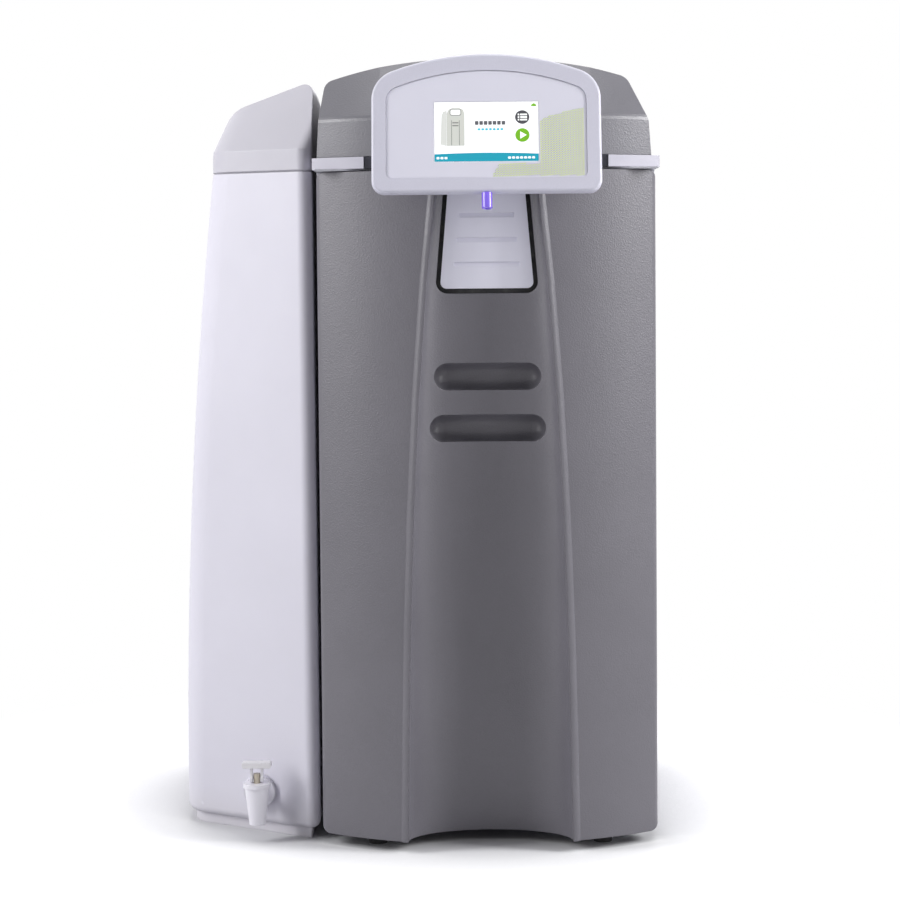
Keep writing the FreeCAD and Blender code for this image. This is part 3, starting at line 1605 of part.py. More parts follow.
lamp_z = collar_z + s.saddle_rise + s.lamp_radius
lamp = rod("lamp_tube", "X", s.lamp_radius, (-s.lamp_length / 2, s.lamp_back, lamp_z), s.lamp_length)
node(lamp, "ultraviolet_chamber")
for side, name in ((-1, "left"), (1, "right")):
    start = s.lamp_length / 2 if side > 0 else -s.lamp_length / 2 - s.lamp_cap_length
    cap = rod(f"lamp_cap_{name}_disc", "X", s.lamp_cap_radius, (start, s.lamp_back, lamp_z), s.lamp_cap_length)
    node(cap, f"lamp_cap_{name}")
    saddle_x = side * s.lamp_length / 4
    half_width = s.lamp_radius * SADDLE_HALF_SHARE
    saddle = box(
        f"lamp_saddle_{name}_block",
        (saddle_x - s.lamp_saddle / 2, saddle_x + s.lamp_saddle / 2),
        (s.lamp_back - half_width, s.lamp_back + half_width),
        (collar_z, lamp_z - half_width),
    )
    hollow = rod(
        f"lamp_saddle_{name}_hollow", "X", s.lamp_radius + s.fit_gap,
        (-s.lamp_length / 2, s.lamp_back, lamp_z), s.lamp_length,
    )
    node(cut(f"lamp_saddle_{name}_cut", saddle, hollow), f"lamp_saddle_{name}")

case_corners = [
    (-s.box_width / 2, -s.box_depth / 2),
    (s.box_width / 2, -s.box_depth / 2),
    (s.box_width / 2, s.box_depth / 2),
    (-s.box_width / 2, s.box_depth / 2),
]
case, case_pad = padded("control_case", "XY", case_corners, s.box_height)
rounded(case, "case_corners", s.box_radius, standing_at("XY", case_corners))
node(place(case, 0.0, s.cabinet_depth - s.box_rear_gap - s.box_depth / 2, collar_z), "control_box")

# Rear fittings

for count, name in enumerate(("feed_port", "drain_port", "loop_port")):
    port_x = s.port_x + count * s.port_pitch
    start = (port_x, s.cabinet_depth, s.port_z)
    flange = rod(f"{name}_nut", "Y", s.port_nut_radius, start, s.rear_reach / 3)
    barrel = rod(f"{name}_barrel", "Y", s.port_radius, start, s.rear_reach)
    bore = rod(
        f"{name}_bore", "Y", s.port_bore, (port_x, s.cabinet_depth + s.rear_reach / 6, s.port_z), s.rear_reach
    )
    node(cut(f"{name}_cut", join(f"{name}_union", flange, barrel), bore), name)

tank_port_x = tank_right - s.tank_head_width / 2
tank_back = s.cabinet_depth - s.tank_rear_gap
port_start = (tank_port_x, tank_back, s.tank_port_z)
port_flange = rod("tank_port_nut", "Y", s.port_nut_radius, port_start, s.rear_reach / 3)
port_barrel = rod("tank_port_barrel", "Y", s.port_radius, port_start, s.rear_reach)
port_bore = rod(
    "tank_port_bore", "Y", s.port_bore, (tank_port_x, tank_back + s.rear_reach / 6, s.tank_port_z), s.rear_reach
)
node(cut("tank_port_cut", join("tank_port_union", port_flange, port_barrel), port_bore), "tank_port")

frame_half = s.inlet_width / 2
frame_back = s.cabinet_depth + s.inlet_depth
inlet_frame = box(
    "inlet_frame",
    (s.inlet_x - frame_half, s.inlet_x + frame_half),
    (s.cabinet_depth, frame_back),
    (s.inlet_z - s.inlet_height / 2, s.inlet_z + s.inlet_height / 2),
)
inlet_hole = box(
    "inlet_hole",
    (s.inlet_x - s.inlet_core_width / 2, s.inlet_x + s.inlet_core_width / 2),
    (s.cabinet_depth + s.sheet / 2, frame_back + s.sheet),
    (s.inlet_z - s.inlet_core_height / 2, s.inlet_z + s.inlet_core_height / 2),
)
pins = [
    rod(
        f"inlet_pin_{count}", "Y", s.sheet / 2,
        (s.inlet_x + (count - 1) * s.inlet_core_width / 4, s.cabinet_depth, s.inlet_z), s.inlet_depth - s.sheet / 2,
    )
    for count in range(3)
]
node(join("power_inlet_union", cut("inlet_socket", inlet_frame, inlet_hole), *pins), "power_inlet")

rocker_z = s.inlet_z + s.rocker_rise
rocker_half = s.rocker_height / 2
rocker_room = s.rocker_height / 2 + s.rocker_gap
rocker_side = s.rocker_width / 2 + s.fit_gap
rocker_frame = box(
    "rocker_frame_block",
    (s.inlet_x - frame_half, s.inlet_x + frame_half),
    (s.cabinet_depth, frame_back),
    (rocker_z - rocker_room - s.frame_rim, rocker_z + rocker_room + s.frame_rim),
)
rocker_hole = box(
    "rocker_hole",
    (s.inlet_x - rocker_side, s.inlet_x + rocker_side),
    (s.cabinet_depth + s.sheet / 2, frame_back + s.sheet),
    (rocker_z - rocker_room, rocker_z + rocker_room),
)
node(cut("rocker_frame_cut", rocker_frame, rocker_hole), "switch_frame")
rocker_foot = s.cabinet_depth + s.rocker_pivot
rocker_corners = [
    (rocker_foot, rocker_z - s.sheet),
    (rocker_foot + s.rocker_depth, rocker_z - rocker_half),
    (rocker_foot + s.rocker_depth, rocker_z),
    (rocker_foot + s.rocker_depth + s.rocker_tip, rocker_z + rocker_half),
    (rocker_foot, rocker_z + s.sheet),
]
rocker, rocker_pad = padded("rocker_body", "YZ", rocker_corners, s.rocker_width)
node(place(rocker, s.inlet_x - s.rocker_width / 2, 0.0, 0.0), "power_rocker")

# Write every sub-part

doc.recompute()
os.makedirs("parts", exist_ok=True)
for item in doc.Objects:
    if "Invalid" in item.State or "Error" in item.State:
        raise RuntimeError(f"{item.Label} failed: {item.State}")
for item in nodes:
    if item.Shape.isNull() or not item.Shape.isValid():
        raise RuntimeError(f"{item.Label} has no valid shape")
for item in nodes:
    item.Shape.exportStep(f"parts/{item.Label}.step")
print(len(nodes), "sub-parts")
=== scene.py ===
"""Looks of the water system.

Camera, lamps and floor, one material for each slot, and the graphics on the display head.
"""

import json
import math

import bmesh
import bpy
from mathutils import Matrix, Vector


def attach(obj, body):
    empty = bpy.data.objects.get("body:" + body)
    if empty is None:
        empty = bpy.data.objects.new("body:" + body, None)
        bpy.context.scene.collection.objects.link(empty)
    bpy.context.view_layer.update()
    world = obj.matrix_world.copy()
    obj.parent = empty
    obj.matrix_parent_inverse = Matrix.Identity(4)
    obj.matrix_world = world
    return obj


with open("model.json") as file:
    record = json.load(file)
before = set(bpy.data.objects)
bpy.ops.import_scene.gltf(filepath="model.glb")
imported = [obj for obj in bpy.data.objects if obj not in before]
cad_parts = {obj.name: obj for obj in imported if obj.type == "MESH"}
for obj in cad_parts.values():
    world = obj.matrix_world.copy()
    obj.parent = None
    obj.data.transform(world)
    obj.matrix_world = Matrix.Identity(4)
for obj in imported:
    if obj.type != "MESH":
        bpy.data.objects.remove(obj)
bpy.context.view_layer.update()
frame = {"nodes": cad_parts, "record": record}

WHITE = (1, 1, 1, 1)

# The photograph's view: place in metres, turns in degrees, lens and sensor in mm
EYE = Vector((0.05325, -2.7347, 0.661))
EYE_YAW, EYE_PITCH, EYE_ROLL = -0.283, 4.678, 0.5
LENS, SENSOR = 90.92, 36.0
CLIP_NEAR, CLIP_FAR = 0.05, 60.0

# Lamps: name, place in metres, width and height in metres, watts
LAMP_AIM = Vector((0.02, 0.0, 0.5))
LAMPS = (
    ("left_box", (-2.2, -1.3, 1.15), 0.9, 1.6, 17),
    ("left_strip", (-2.15, -0.70, 1.65), 0.6, 1.2, 39),
    ("right_box", (2.2, -1.3, 1.15), 1.1, 1.6, 16),
    ("right_strip", (2.15, -0.70, 1.65), 0.6, 1.2, 52),
    ("top_box", (0.05, 0.4, 3.0), 1.8, 1.4, 22),
    ("back_box", (0.0, 2.6, 1.8), 2.4, 1.6, 30),
)
ROOM_COLOUR = (0.97, 0.97, 1.0, 1)
ROOM_LIGHT = 0.12

# Floor, in metres: its room light fades where the object stands close, and far off it is white
FLOOR_SIZE = 30.0
FLOOR_COLOUR = (0.62, 0.62, 0.64, 1)
FLOOR_LIGHT = 0.60
SHADE_REACH = 0.26
SHADE_SPAN = (0.48, 0.92)
WHITE_SPAN = (0.40, 0.85)

# Most of a noise node's values lie between these
NOISE_CORE = (0.3, 0.7)
NOISE_WIDE = (0.25, 0.75)
# How far soft and flat normals agree where an edge begins and where it ends
EDGE_SPAN = (0.80, 0.99)

# The head's face: its origin in metres, its lean in degrees, and places on it in mm
HEAD_ORIGIN = Vector((0.08325, -0.2833, 0.7376))
HEAD_LEAN = -14.0
FASCIA_FRONT = 1.0
SCREEN_FRONT = 1.3
SCREEN_HALF = 56.4
SCREEN_FOOT = 34.0

# The screen's graphics
FOOT_BAR_INSET, FOOT_BAR_HEIGHT, FOOT_BAR_CROWN, FOOT_BAR_STEPS = 0.4, 8.6, 1.4, 24
MARK_RISE, MARK_PITCH, MARK_SIZE = 3.1, 4.3, (3.3, 2.5, 0.9)
MARK_ROWS = ((3, -54), (7, 23))
ICON_BODY = (
    (-42.6, 52),
    (-23.6, 52),
    (-23.6, 88),
    (-25.2, 92.4),
    (-29, 94.2),
    (-37, 94.2),
    (-40.6, 92.4),
    (-42.6, 88),
)
ICON_SIDE = ((-49.4, 53.4), (-43.0, 52), (-43.0, 91.5), (-46.6, 90), (-48.2, 86))
ICON_LINES = (
    (-37.8, 52.4, 0.6, 28),
    (-29.4, 52.4, 0.6, 28),
    (-36.6, 77, 6.6, 1.3),
    (-36.6, 73.8, 6.6, 1.3),
)
ICON_HEAD = (-39.4, 85.6, 12.4, 7.6, 2.4)
ICON_PLATE = (-38.6, 86.4, 10.8, 6.0, 1.8)
TITLE = (7, -12.2, 75.2, 4.8, (3.7, 4.2, 0.7))
SECOND_LINE = (7, -9.4, 69.0, 4.1, (2.9, 2.3, 0.7))
BUTTON_X, BUTTON_RADIUS = 38.8, 7.6
LIST_BUTTON_Z, PLAY_BUTTON_Z = 83.5, 63.4
PLAY_SIGN = ((36.4, 59.2), (43.4, 63.4), (36.4, 67.6))
LIST_FOOT, LIST_PITCH, LIST_THICK = 79.6, 2.9, 1.9
LIST_COLUMNS = ((34.0, 1.6), (36.6, 7.4))
CLOUD = (51.2, 95.6, 1.75)
CLOUD_HALF_FOOT, CLOUD_STEPS = 1.65, 6
# Each bump of the cloud: x, z, radius, and its arc's two ends in degrees
CLOUD_BUMPS = ((0.95, 0.55, 0.7, -20, 80), (0.05, 0.75, 1.05, 40, 150), (-1.0, 0.5, 0.65, 95, 215))

# The printed field on the fascia: its outline, then its rows of lozenges
FIELD_RIGHT, FIELD_FOOT = 105.2, 18.0
FIELD_CORNER, FIELD_CORNER_RADIUS = (101.5, 23.5), 5.0
FIELD_SIDE_GAP, FIELD_UNDER_GAP = 2.4, 2.2
FIELD_LEFT, FIELD_LEFT_SLOPE, FIELD_LEFT_Z = 5.5, 0.52, 17
FIELD_SHOULDER, FIELD_RISE, FIELD_RUN, FIELD_BEND = 77.0, 17.0, 49, 0.6
FIELD_ROWS, FIELD_COLUMNS = 76, 36
FIELD_START, FIELD_PITCH, FIELD_ROW_PITCH = (2, 8), 3.0, 1.25
FIELD_BOW, FIELD_BOW_X = 0.0009, 5
LOZENGE_LEAN = 0.45
GREEN_LOZENGE, GREY_LOZENGE = (1.65, 1.1), (0.95, 0.85)


def linear(red, green, blue):
    """A colour given from 0 to 255, as the shaders take it."""
    parts = []
    for value in (red, green, blue):
        share = value / 255
        parts.append(share / 12.92 if share <= 0.04045 else ((share + 0.055) / 1.055) ** 2.4)
    return (*parts, 1.0)


def toned(colour, factor):
    return (*(min(1.0, part * factor) for part in colour[:3]), 1.0)


def add_node(nodes, kind, values=None, **settings):
    """A new shader node with these settings, and these values on its sockets."""
    node = nodes.new("ShaderNode" + kind)
    for name, setting in settings.items():
        setattr(node, name, setting)
    for socket, value in (values or {}).items():
        node.inputs[socket].default_value = value
    return node


# Camera


def place_camera():
    yaw, pitch, roll = (math.radians(a) for a in (EYE_YAW, EYE_PITCH, EYE_ROLL))
    reach = math.cos(pitch)
    ahead = Vector((math.sin(yaw) * reach, math.cos(yaw) * reach, -math.sin(pitch)))
    level = Vector((math.cos(yaw), -math.sin(yaw), 0))
    upright = level.cross(ahead)
    right = level * math.cos(roll) - upright * math.sin(roll)
    up = upright * math.cos(roll) + level * math.sin(roll)
    data = bpy.data.cameras.new("camera")
    data.lens = LENS
    data.sensor_width = SENSOR
    data.clip_start, data.clip_end = CLIP_NEAR, CLIP_FAR
    camera = bpy.data.objects.new("camera", data)
    turn = Matrix((right, up, -ahead)).transposed().to_4x4()
    camera.matrix_world = Matrix.Translation(EYE) @ turn
    bpy.context.scene.collection.objects.link(camera)
    bpy.context.scene.camera = camera


# Lamps, world and floor


def soft_box(name, place, width, height, power):
    data = bpy.data.lights.new(name, "AREA")
    data.shape = "RECTANGLE"
    data.size, data.size_y = width, height
    data.energy = power
    lamp = bpy.data.objects.new(name, data)
    lamp.location = place
    lamp.rotation_euler = (LAMP_AIM - Vector(place)).to_track_quat("-Z", "Y").to_euler()
    bpy.context.scene.collection.objects.link(lamp)


def seen_ray(nodes, links):
    """1 for rays that see the background: camera, glossy and transmission rays."""
    path = add_node(nodes, "LightPath")
    first = add_node(nodes, "Math", operation="MAXIMUM")
    links.new(path.outputs["Is Camera Ray"], first.inputs[0])
    links.new(path.outputs["Is Glossy Ray"], first.inputs[1])
    second = add_node(nodes, "Math", operation="MAXIMUM")
    links.new(first.outputs[0], second.inputs[0])
    links.new(path.outputs["Is Transmission Ray"], second.inputs[1])
    return second.outputs[0]


def mix_shaders(nodes, links, share, first, second):
    mix = add_node(nodes, "MixShader")
    links.new(share, mix.inputs[0])
    links.new(first.outputs[0], mix.inputs[1])
    links.new(second.outputs[0], mix.inputs[2])
    return mix


def light_room():
    """A white world to the eye that lights the object only a little, and the lamps."""
    world = bpy.data.worlds.new("studio")
    bpy.context.scene.world = world
    world.use_nodes = True
    nodes, links = world.node_tree.nodes, world.node_tree.links
    nodes.clear()
    shown = add_node(nodes, "Background", {"Color": WHITE, "Strength": 1.0})
    lighting = add_node(nodes, "Background", {"Color": ROOM_COLOUR, "Strength": ROOM_LIGHT})
    mix = mix_shaders(nodes, links, seen_ray(nodes, links), lighting, shown)
    links.new(mix.outputs[0], add_node(nodes, "OutputWorld").inputs[0])
    for lamp in LAMPS:
        soft_box(*lamp)


def lay_floor():
    """A pale floor: it keeps the shadow near the object, and is white to the eye further out."""
    mesh = bpy.data.meshes.new("floor")
    grid = bmesh.new()
    bmesh.ops.create_grid(grid, x_segments=8, y_segments=8, size=FLOOR_SIZE)
    grid.to_mesh(mesh)
    grid.free()
    floor = bpy.data.objects.new("floor", mesh)
    bpy.context.scene.collection.objects.link(floor)
    material = bpy.data.materials.new("floor_pale")
    material.use_nodes = True
    nodes, links = material.node_tree.nodes, material.node_tree.links
    nodes.clear()
    plain = add_node(nodes, "BsdfDiffuse", {"Color": FLOOR_COLOUR})
    # The glow stands in for the white room's light, which the object keeps off beside it
    hidden = add_node(nodes, "AmbientOcclusion", {"Distance": SHADE_REACH}, samples=16)
    low, high = SHADE_SPAN
    values = {"From Min": low, "From Max": high, "To Max": FLOOR_LIGHT}
    room = add_node(nodes, "MapRange", values)
    links.new(hidden.outputs["AO"], room.inputs["Value"])
    glow = add_node(nodes, "Emission", {"Color": WHITE})
    links.new(room.outputs[0], glow.inputs["Strength"])
    lifted = add_node(nodes, "AddShader")
    links.new(plain.outputs[0], lifted.inputs[0])
    links.new(glow.outputs[0], lifted.inputs[1])
    white = add_node(nodes, "Emission", {"Color": WHITE, "Strength": 1.0})
    distance = add_node(nodes, "VectorMath", operation="LENGTH")
    links.new(add_node(nodes, "TexCoord").outputs["Object"], distance.inputs[0])
    low, high = WHITE_SPAN
    fade = add_node(nodes, "MapRange", {"From Min": low, "From Max": high})
    links.new(distance.outputs["Value"], fade.inputs["Value"])
    near = mix_shaders(nodes, links, fade.outputs[0], lifted, white)
    mix = mix_shaders(nodes, links, seen_ray(nodes, links), plain, near)
    links.new(mix.outputs[0], add_node(nodes, "OutputMaterial").inputs[0])
    floor.data.materials.append(material)


# Materials


class Finish:
    """One material under construction: a principled shader with helpers for its node chains."""

    def __init__(self, name):
        self.material = bpy.data.materials.new(name)
        self.material.use_nodes = True
        self.nodes = self.material.node_tree.nodes
        self.links = self.material.node_tree.links
        self.nodes.clear()
        self.shader = self.add("BsdfPrincipled")
        self.links.new(self.shader.outputs[0], self.add("OutputMaterial").inputs[0])
        self.place = self.add("TexCoord").outputs["Object"]

    def add(self, kind, values=None, **settings):
        return add_node(self.nodes, kind, values, **settings)

    def set(self, socket, value):
        self.shader.inputs[socket].default_value = value

    def wire(self, source, socket):
        self.links.new(source, self.shader.inputs[socket])

    def height(self):
        """The height above the floor."""
        node = self.add("SeparateXYZ")
        self.links.new(self.place, node.inputs[0])
        return node.outputs["Z"]

    def stretched(self, scale):
        node = self.add("Mapping", {"Scale": scale})
        self.links.new(self.place, node.inputs["Vector"])
        return node.outputs[0]

    def noise(self, scale, detail=3.0, rough=0.55, place=None):
        values = {"Scale": scale, "Detail": detail, "Roughness": rough}
        node = self.add("TexNoise", values)
        self.links.new(place or self.place, node.inputs["Vector"])
        return node.outputs["Fac"]

    def cells(self, scale):
        values = {"Scale": scale, "Smoothness": 0.6}
        node = self.add("TexVoronoi", values, feature="SMOOTH_F1")
        self.links.new(self.place, node.inputs["Vector"])
        return node.outputs["Distance"]

    def span(self, source, low, high, start=0.0, end=1.0):
        """The source's span from start to end, laid out from low to high."""
        values = {"From Min": start, "From Max": end, "To Min": low, "To Max": high}
        node = self.add("MapRange", values)
        self.links.new(source, node.inputs["Value"])
        return node.outputs[0]

    def sum(self, first, second, operation="ADD"):
        node = self.add("Math", operation=operation)
        self.links.new(first, node.inputs[0])
        self.links.new(second, node.inputs[1])
        return node.outputs[0]

    def mixed(self, share, first, second):
        """A mix of two colours, each a colour or a socket."""
        node = self.add("Mix", data_type="RGBA")
        self.links.new(share, node.inputs[0])
        for value, socket in ((first, node.inputs[6]), (second, node.inputs[7])):
            if isinstance(value, tuple):
                socket.default_value = value
            else:
                self.links.new(value, socket)
        return node.outputs[2]

    def clouded(self, source, first, second):
        """A mix of two colours in soft patches."""
        return self.mixed(self.span(source, 0.0, 1.0, *NOISE_CORE), first, second)

    def roughness(self, source, low, high):
        self.wire(self.span(source, low, high, *NOISE_WIDE), "Roughness")

    def edges(self, radius):
        """1 along outer and inner edges within the radius, 0 on the flats."""
        soft = self.add("Bevel", {"Radius": radius}, samples=4)
        dot = self.add("VectorMath", operation="DOT_PRODUCT")
        self.links.new(soft.outputs[0], dot.inputs[0])
        self.links.new(self.add("NewGeometry").outputs["Normal"], dot.inputs[1])
        return self.span(dot.outputs["Value"], 1.0, 0.0, *EDGE_SPAN), soft.outputs[0]

    def bump(self, height, strength, depth, under=None):
        node = self.add("Bump", {"Strength": strength, "Distance": depth})
        self.links.new(height, node.inputs["Height"])
        if under is not None:
            self.links.new(under, node.inputs["Normal"])
        return node.outputs[0]


def moulded(name, rgb, rough, grain, depth, mottle=0.05, edge_wear_and_highlight=0.10, round_off=0.0012):
    """Injection-moulded plastic with a leather-like grain, paler along its edges: scuffing there,
    and a painted edge highlight.
    """
    look = Finish(name)
    base = linear(*rgb)
    tone = look.clouded(look.noise(9.0, 4.0), toned(base, 1 - mottle), toned(base, 1 + mottle))
    pores = look.cells(grain)
    speckle = look.mixed(look.span(pores, 0.0, 0.35, *NOISE_WIDE), tone, toned(base, 0.90))
    edge, soft_normal = look.edges(round_off)
    # Paler edges, broken by noise: scuffing, and a painted edge highlight.
    rubbed_and_highlit = look.sum(edge, look.span(look.noise(140.0), 0.2, 1.0), "MULTIPLY")
    worn_and_highlit = look.mixed(look.span(rubbed_and_highlit, 0.0, edge_wear_and_highlight * 4), speckle, toned(base, 1.35))
    look.wire(worn_and_highlit, "Base Color")
    look.roughness(look.noise(60.0, 5.0), rough - 0.05, rough + 0.06)
    height = look.sum(pores, look.span(look.noise(grain * 1.7, 2.0), 0.0, 0.5))
    look.wire(look.bump(height, 0.8, depth, soft_normal), "Normal")
    look.set("IOR", 1.49)
    return look.material


def satin(name, rgb, rough, mottle=0.02):
    """Smooth satin plastic with a faint ripple."""
    look = Finish(name)
    base = linear(*rgb)
    tone = look.clouded(look.noise(14.0, 4.0), toned(base, 1 - mottle), toned(base, 1 + mottle))
    edge, soft_normal = look.edges(0.0008)
    # Painted highlight: paler along the edges.
    look.wire(look.mixed(look.span(edge, 0.0, 0.2), tone, toned(base, 1.2)), "Base Color")
    look.roughness(look.noise(90.0, 4.0), rough - 0.05, rough + 0.05)
    look.wire(look.bump(look.noise(420.0, 3.0), 0.5, 0.00003, soft_normal), "Normal")
    look.set("IOR", 1.49)
    return look.material


def tank_plastic(name, rgb):
    """Rotation-moulded polyethylene: waxy, faintly uneven, with light passing a little way in."""
    look = Finish(name)
    base = linear(*rgb)
    tone = look.clouded(look.noise(5.0, 5.0), toned(base, 0.965), toned(base, 1.02))
    # Darker towards the floor, over the lowest 5 cm.
    floor_darkening = look.span(look.height(), 0.35, 0.0, 0.0, 0.05)
    darkened_low = look.mixed(floor_darkening, tone, linear(196, 192, 190))
    edge, soft_normal = look.edges(0.002)
    # Painted highlight: paler along the edges.
    look.wire(look.mixed(look.span(edge, 0.0, 0.2), darkened_low, toned(base, 1.1)), "Base Color")
    look.roughness(look.noise(35.0, 5.0), 0.40, 0.54)
    height = look.sum(look.span(look.noise(24.0, 2.0), 0.0, 3.0), look.noise(700.0, 2.0))
    look.wire(look.bump(height, 0.5, 0.00012, soft_normal), "Normal")
    look.set("Subsurface Weight", 0.12)
    look.set("Subsurface Radius", (0.006, 0.006, 0.007))
    look.set("Subsurface Scale", 1.0)
    look.set("IOR", 1.50)
    return look.material


def rubber(name, rgb):
    """Matt rubber with a little dust."""
    look = Finish(name)
    dust = look.span(look.noise(55.0, 5.0), 0.0, 0.6, 0.45, 0.8)
    look.wire(look.mixed(dust, linear(*rgb), linear(92, 90, 88)), "Base Color")
    look.roughness(look.noise(120.0, 4.0), 0.54, 0.74)
    look.wire(look.bump(look.noise(900.0, 3.0), 0.6, 0.00006), "Normal")
    return look.material


def coated(name, rgb):
    """Powder-coated sheet steel, with orange peel and chipped edges."""
    look = Finish(name)
    base = linear(*rgb)
    tone = look.clouded(look.noise(7.0, 4.0), toned(base, 0.97), toned(base, 1.02))
    edge, soft_normal = look.edges(0.0009)
    spots = look.span(look.noise(190.0, 4.0), 0.0, 1.0, 0.52, 0.62)
    chipped = look.sum(edge, spots, "MULTIPLY")
    look.wire(look.mixed(look.span(chipped, 0.0, 0.5), tone, linear(120, 122, 126)), "Base Color")
    look.roughness(look.noise(80.0, 4.0), 0.41, 0.52)
    look.wire(look.bump(look.noise(520.0, 2.0), 0.6, 0.00008, soft_normal), "Normal")
    return look.material


def metal(name, rgb, rough, brushed=(6.0, 6.0, 700.0)):
    """Brushed metal, its lines drawn out along the axes where the brushed scale is small."""
    look = Finish(name)
    base = linear(*rgb)
    lines = look.noise(1.0, 4.0, 0.6, look.stretched(brushed))
    tone = look.clouded(look.noise(40.0, 4.0), toned(base, 0.88), toned(base, 1.05))
    share = look.span(lines, 0.0, 0.35, 0.4, 0.7)
    look.wire(look.mixed(share, tone, toned(base, 0.75)), "Base Color")
    look.wire(look.span(lines, rough - 0.08, rough + 0.12, *NOISE_CORE), "Roughness")
    look.wire(look.bump(lines, 0.4, 0.00002), "Normal")
    look.set("Metallic", 1.0)
    return look.material


def lit(name, rgb):
    """A lit display colour, with the panel's fine lattice."""
    look = Finish(name)
    base = linear(*rgb)
    weave = look.add("TexWave", {"Scale": 1500.0}, bands_direction="X")
    look.links.new(look.place, weave.inputs["Vector"])
    tone = look.mixed(weave.outputs["Fac"], toned(base, 0.96), base)
    face = look.mixed(look.span(look.noise(20.0), 0.0, 1.0), tone, toned(base, 0.985))
    look.wire(face, "Base Color")
    look.wire(tone, "Emission Color")
    look.set("Emission Strength", 0.35)
    look.roughness(look.noise(70.0, 4.0), 0.16, 0.24)
    return look.material


def violet_light(name, rgb):
    """The lit nozzle: clear violet plastic, brighter at its root and dimmer at its mouth."""
    look = Finish(name)
    base = linear(*rgb)
    rise = look.span(look.height(), 0.0, 1.0, 0.719, 0.737)
    # Painted sheen: lighter vertical streaks in the glowing colour, as on a clear tube, strongest
    # near the root.
    streak = look.noise(1.0, 3.0, 0.5, look.stretched((900.0, 900.0, 20.0)))
    share = look.sum(rise, look.span(streak, 0.0, 0.5), "MULTIPLY")
    tone = look.mixed(share, base, toned(base, 1.5))
    look.wire(tone, "Base Color")
    look.wire(tone, "Emission Color")
    look.set("Emission Strength", 0.45)
    look.wire(look.span(streak, 0.18, 0.32), "Roughness")
    look.set("Coat Weight", 0.4)
    return look.material


def glass_screen(name):
    """The touch screen's lit white face, grey along its edges."""
    look = Finish(name)
    white = linear(250, 251, 252)
    face = look.clouded(look.noise(18.0, 3.0), toned(white, 0.985), white)
    edge, soft_normal = look.edges(0.0006)
    tone = look.mixed(edge, face, linear(150, 152, 160))
    look.wire(tone, "Base Color")
    look.wire(tone, "Emission Color")
    look.set("Emission Strength", 0.32)
    look.roughness(look.noise(60.0, 4.0), 0.14, 0.22)
    look.wire(soft_normal, "Normal")
    look.set("Coat Weight", 0.3)
    return look.material


def printed(name, rgb):
    """Ink on the fascia, a little uneven at its surface."""
    look = Finish(name)
    base = linear(*rgb)
    share = look.span(look.noise(260.0, 3.0), 0.0, 1.0, 0.35, 0.65)
    look.wire(look.mixed(share, toned(base, 0.94), toned(base, 1.05)), "Base Color")
    look.roughness(look.noise(300.0, 3.0), 0.39, 0.51)
    return look.material


def make_finishes():
    """Each material slot's finish. After the colour come roughness, grain and relief depth."""
    fine = (0.02, 0.05, 0.0008)
    recipes = {
        "door_grey": (moulded, (108, 106, 113), 0.34, 620.0, 0.00022),
        "hood_grey": (moulded, (106, 105, 112), 0.35, 620.0, 0.00022),
        "panel_grey": (satin, (234, 233, 246), 0.40),
        # Near-black rubber seal round the dispense panel; its black also stands in for the shade
        # deep in that gap, which is painted shade.
        "seal_black": (rubber, (24, 24, 27)),
        "hinge_steel": (metal, (178, 180, 184), 0.32),
        "collar_light": (satin, (181, 179, 191), 0.40),
        "rail_dark": (satin, (71, 71, 81), 0.45),
        "cabinet_steel": (coated, (196, 196, 204)),
        "foot_rubber": (rubber, (27, 26, 28)),
        "bezel_light": (moulded, (207, 206, 220), 0.40, 900.0, 0.00006, *fine),
        "fascia_light": (satin, (222, 221, 234), 0.34, 0.01),
        "head_shell": (moulded, (204, 203, 216), 0.44, 900.0, 0.00008, *fine),
        "nozzle_violet": (violet_light, (104, 80, 192)),
        "tank_white": (tank_plastic, (213, 211, 222)),
        "lid_light": (tank_plastic, (191, 189, 198)),
        "port_white": (satin, (226, 225, 228), 0.36),
        "tap_white": (satin, (228, 226, 234), 0.30),
        "stem_cream": (satin, (200, 190, 172), 0.36),
        "lever_white": (satin, (226, 224, 228), 0.30),
        "vessel_white": (satin, (224, 225, 227), 0.34),
        "cap_blue": (satin, (44, 92, 150), 0.36),
        "cartridge_white": (satin, (228, 228, 226), 0.34),
        "manifold_black": (moulded, (40, 41, 44), 0.46, 800.0, 0.0001),
        "motor_metal": (metal, (140, 142, 146), 0.38, (700.0, 6.0, 6.0)),
        "pump_brass": (metal, (196, 168, 104), 0.34, (40.0, 40.0, 40.0)),
        "lamp_steel": (metal, (190, 192, 196), 0.22, (6.0, 700.0, 700.0)),
        "box_grey": (satin, (150, 152, 158), 0.42),
        "inlet_black": (moulded, (30, 30, 32), 0.44, 900.0, 0.00006),
        "rocker_black": (satin, (34, 34, 36), 0.34),
    }
    finishes = {slot: make(slot, *rest) for slot, (make, *rest) in recipes.items()}
    finishes["screen_glass"] = glass_screen("screen_glass")
    return finishes


def dress_nodes(finishes):
    for row in frame["record"]["subparts"]:
        node = frame["nodes"][row["node"]]
        node.data.materials.clear()
        node.data.materials.append(finishes[row["material_slot"]])
        for face in node.data.polygons:
            face.material_index = 0


# Graphics on the head, each a thin relief on the face that carries it


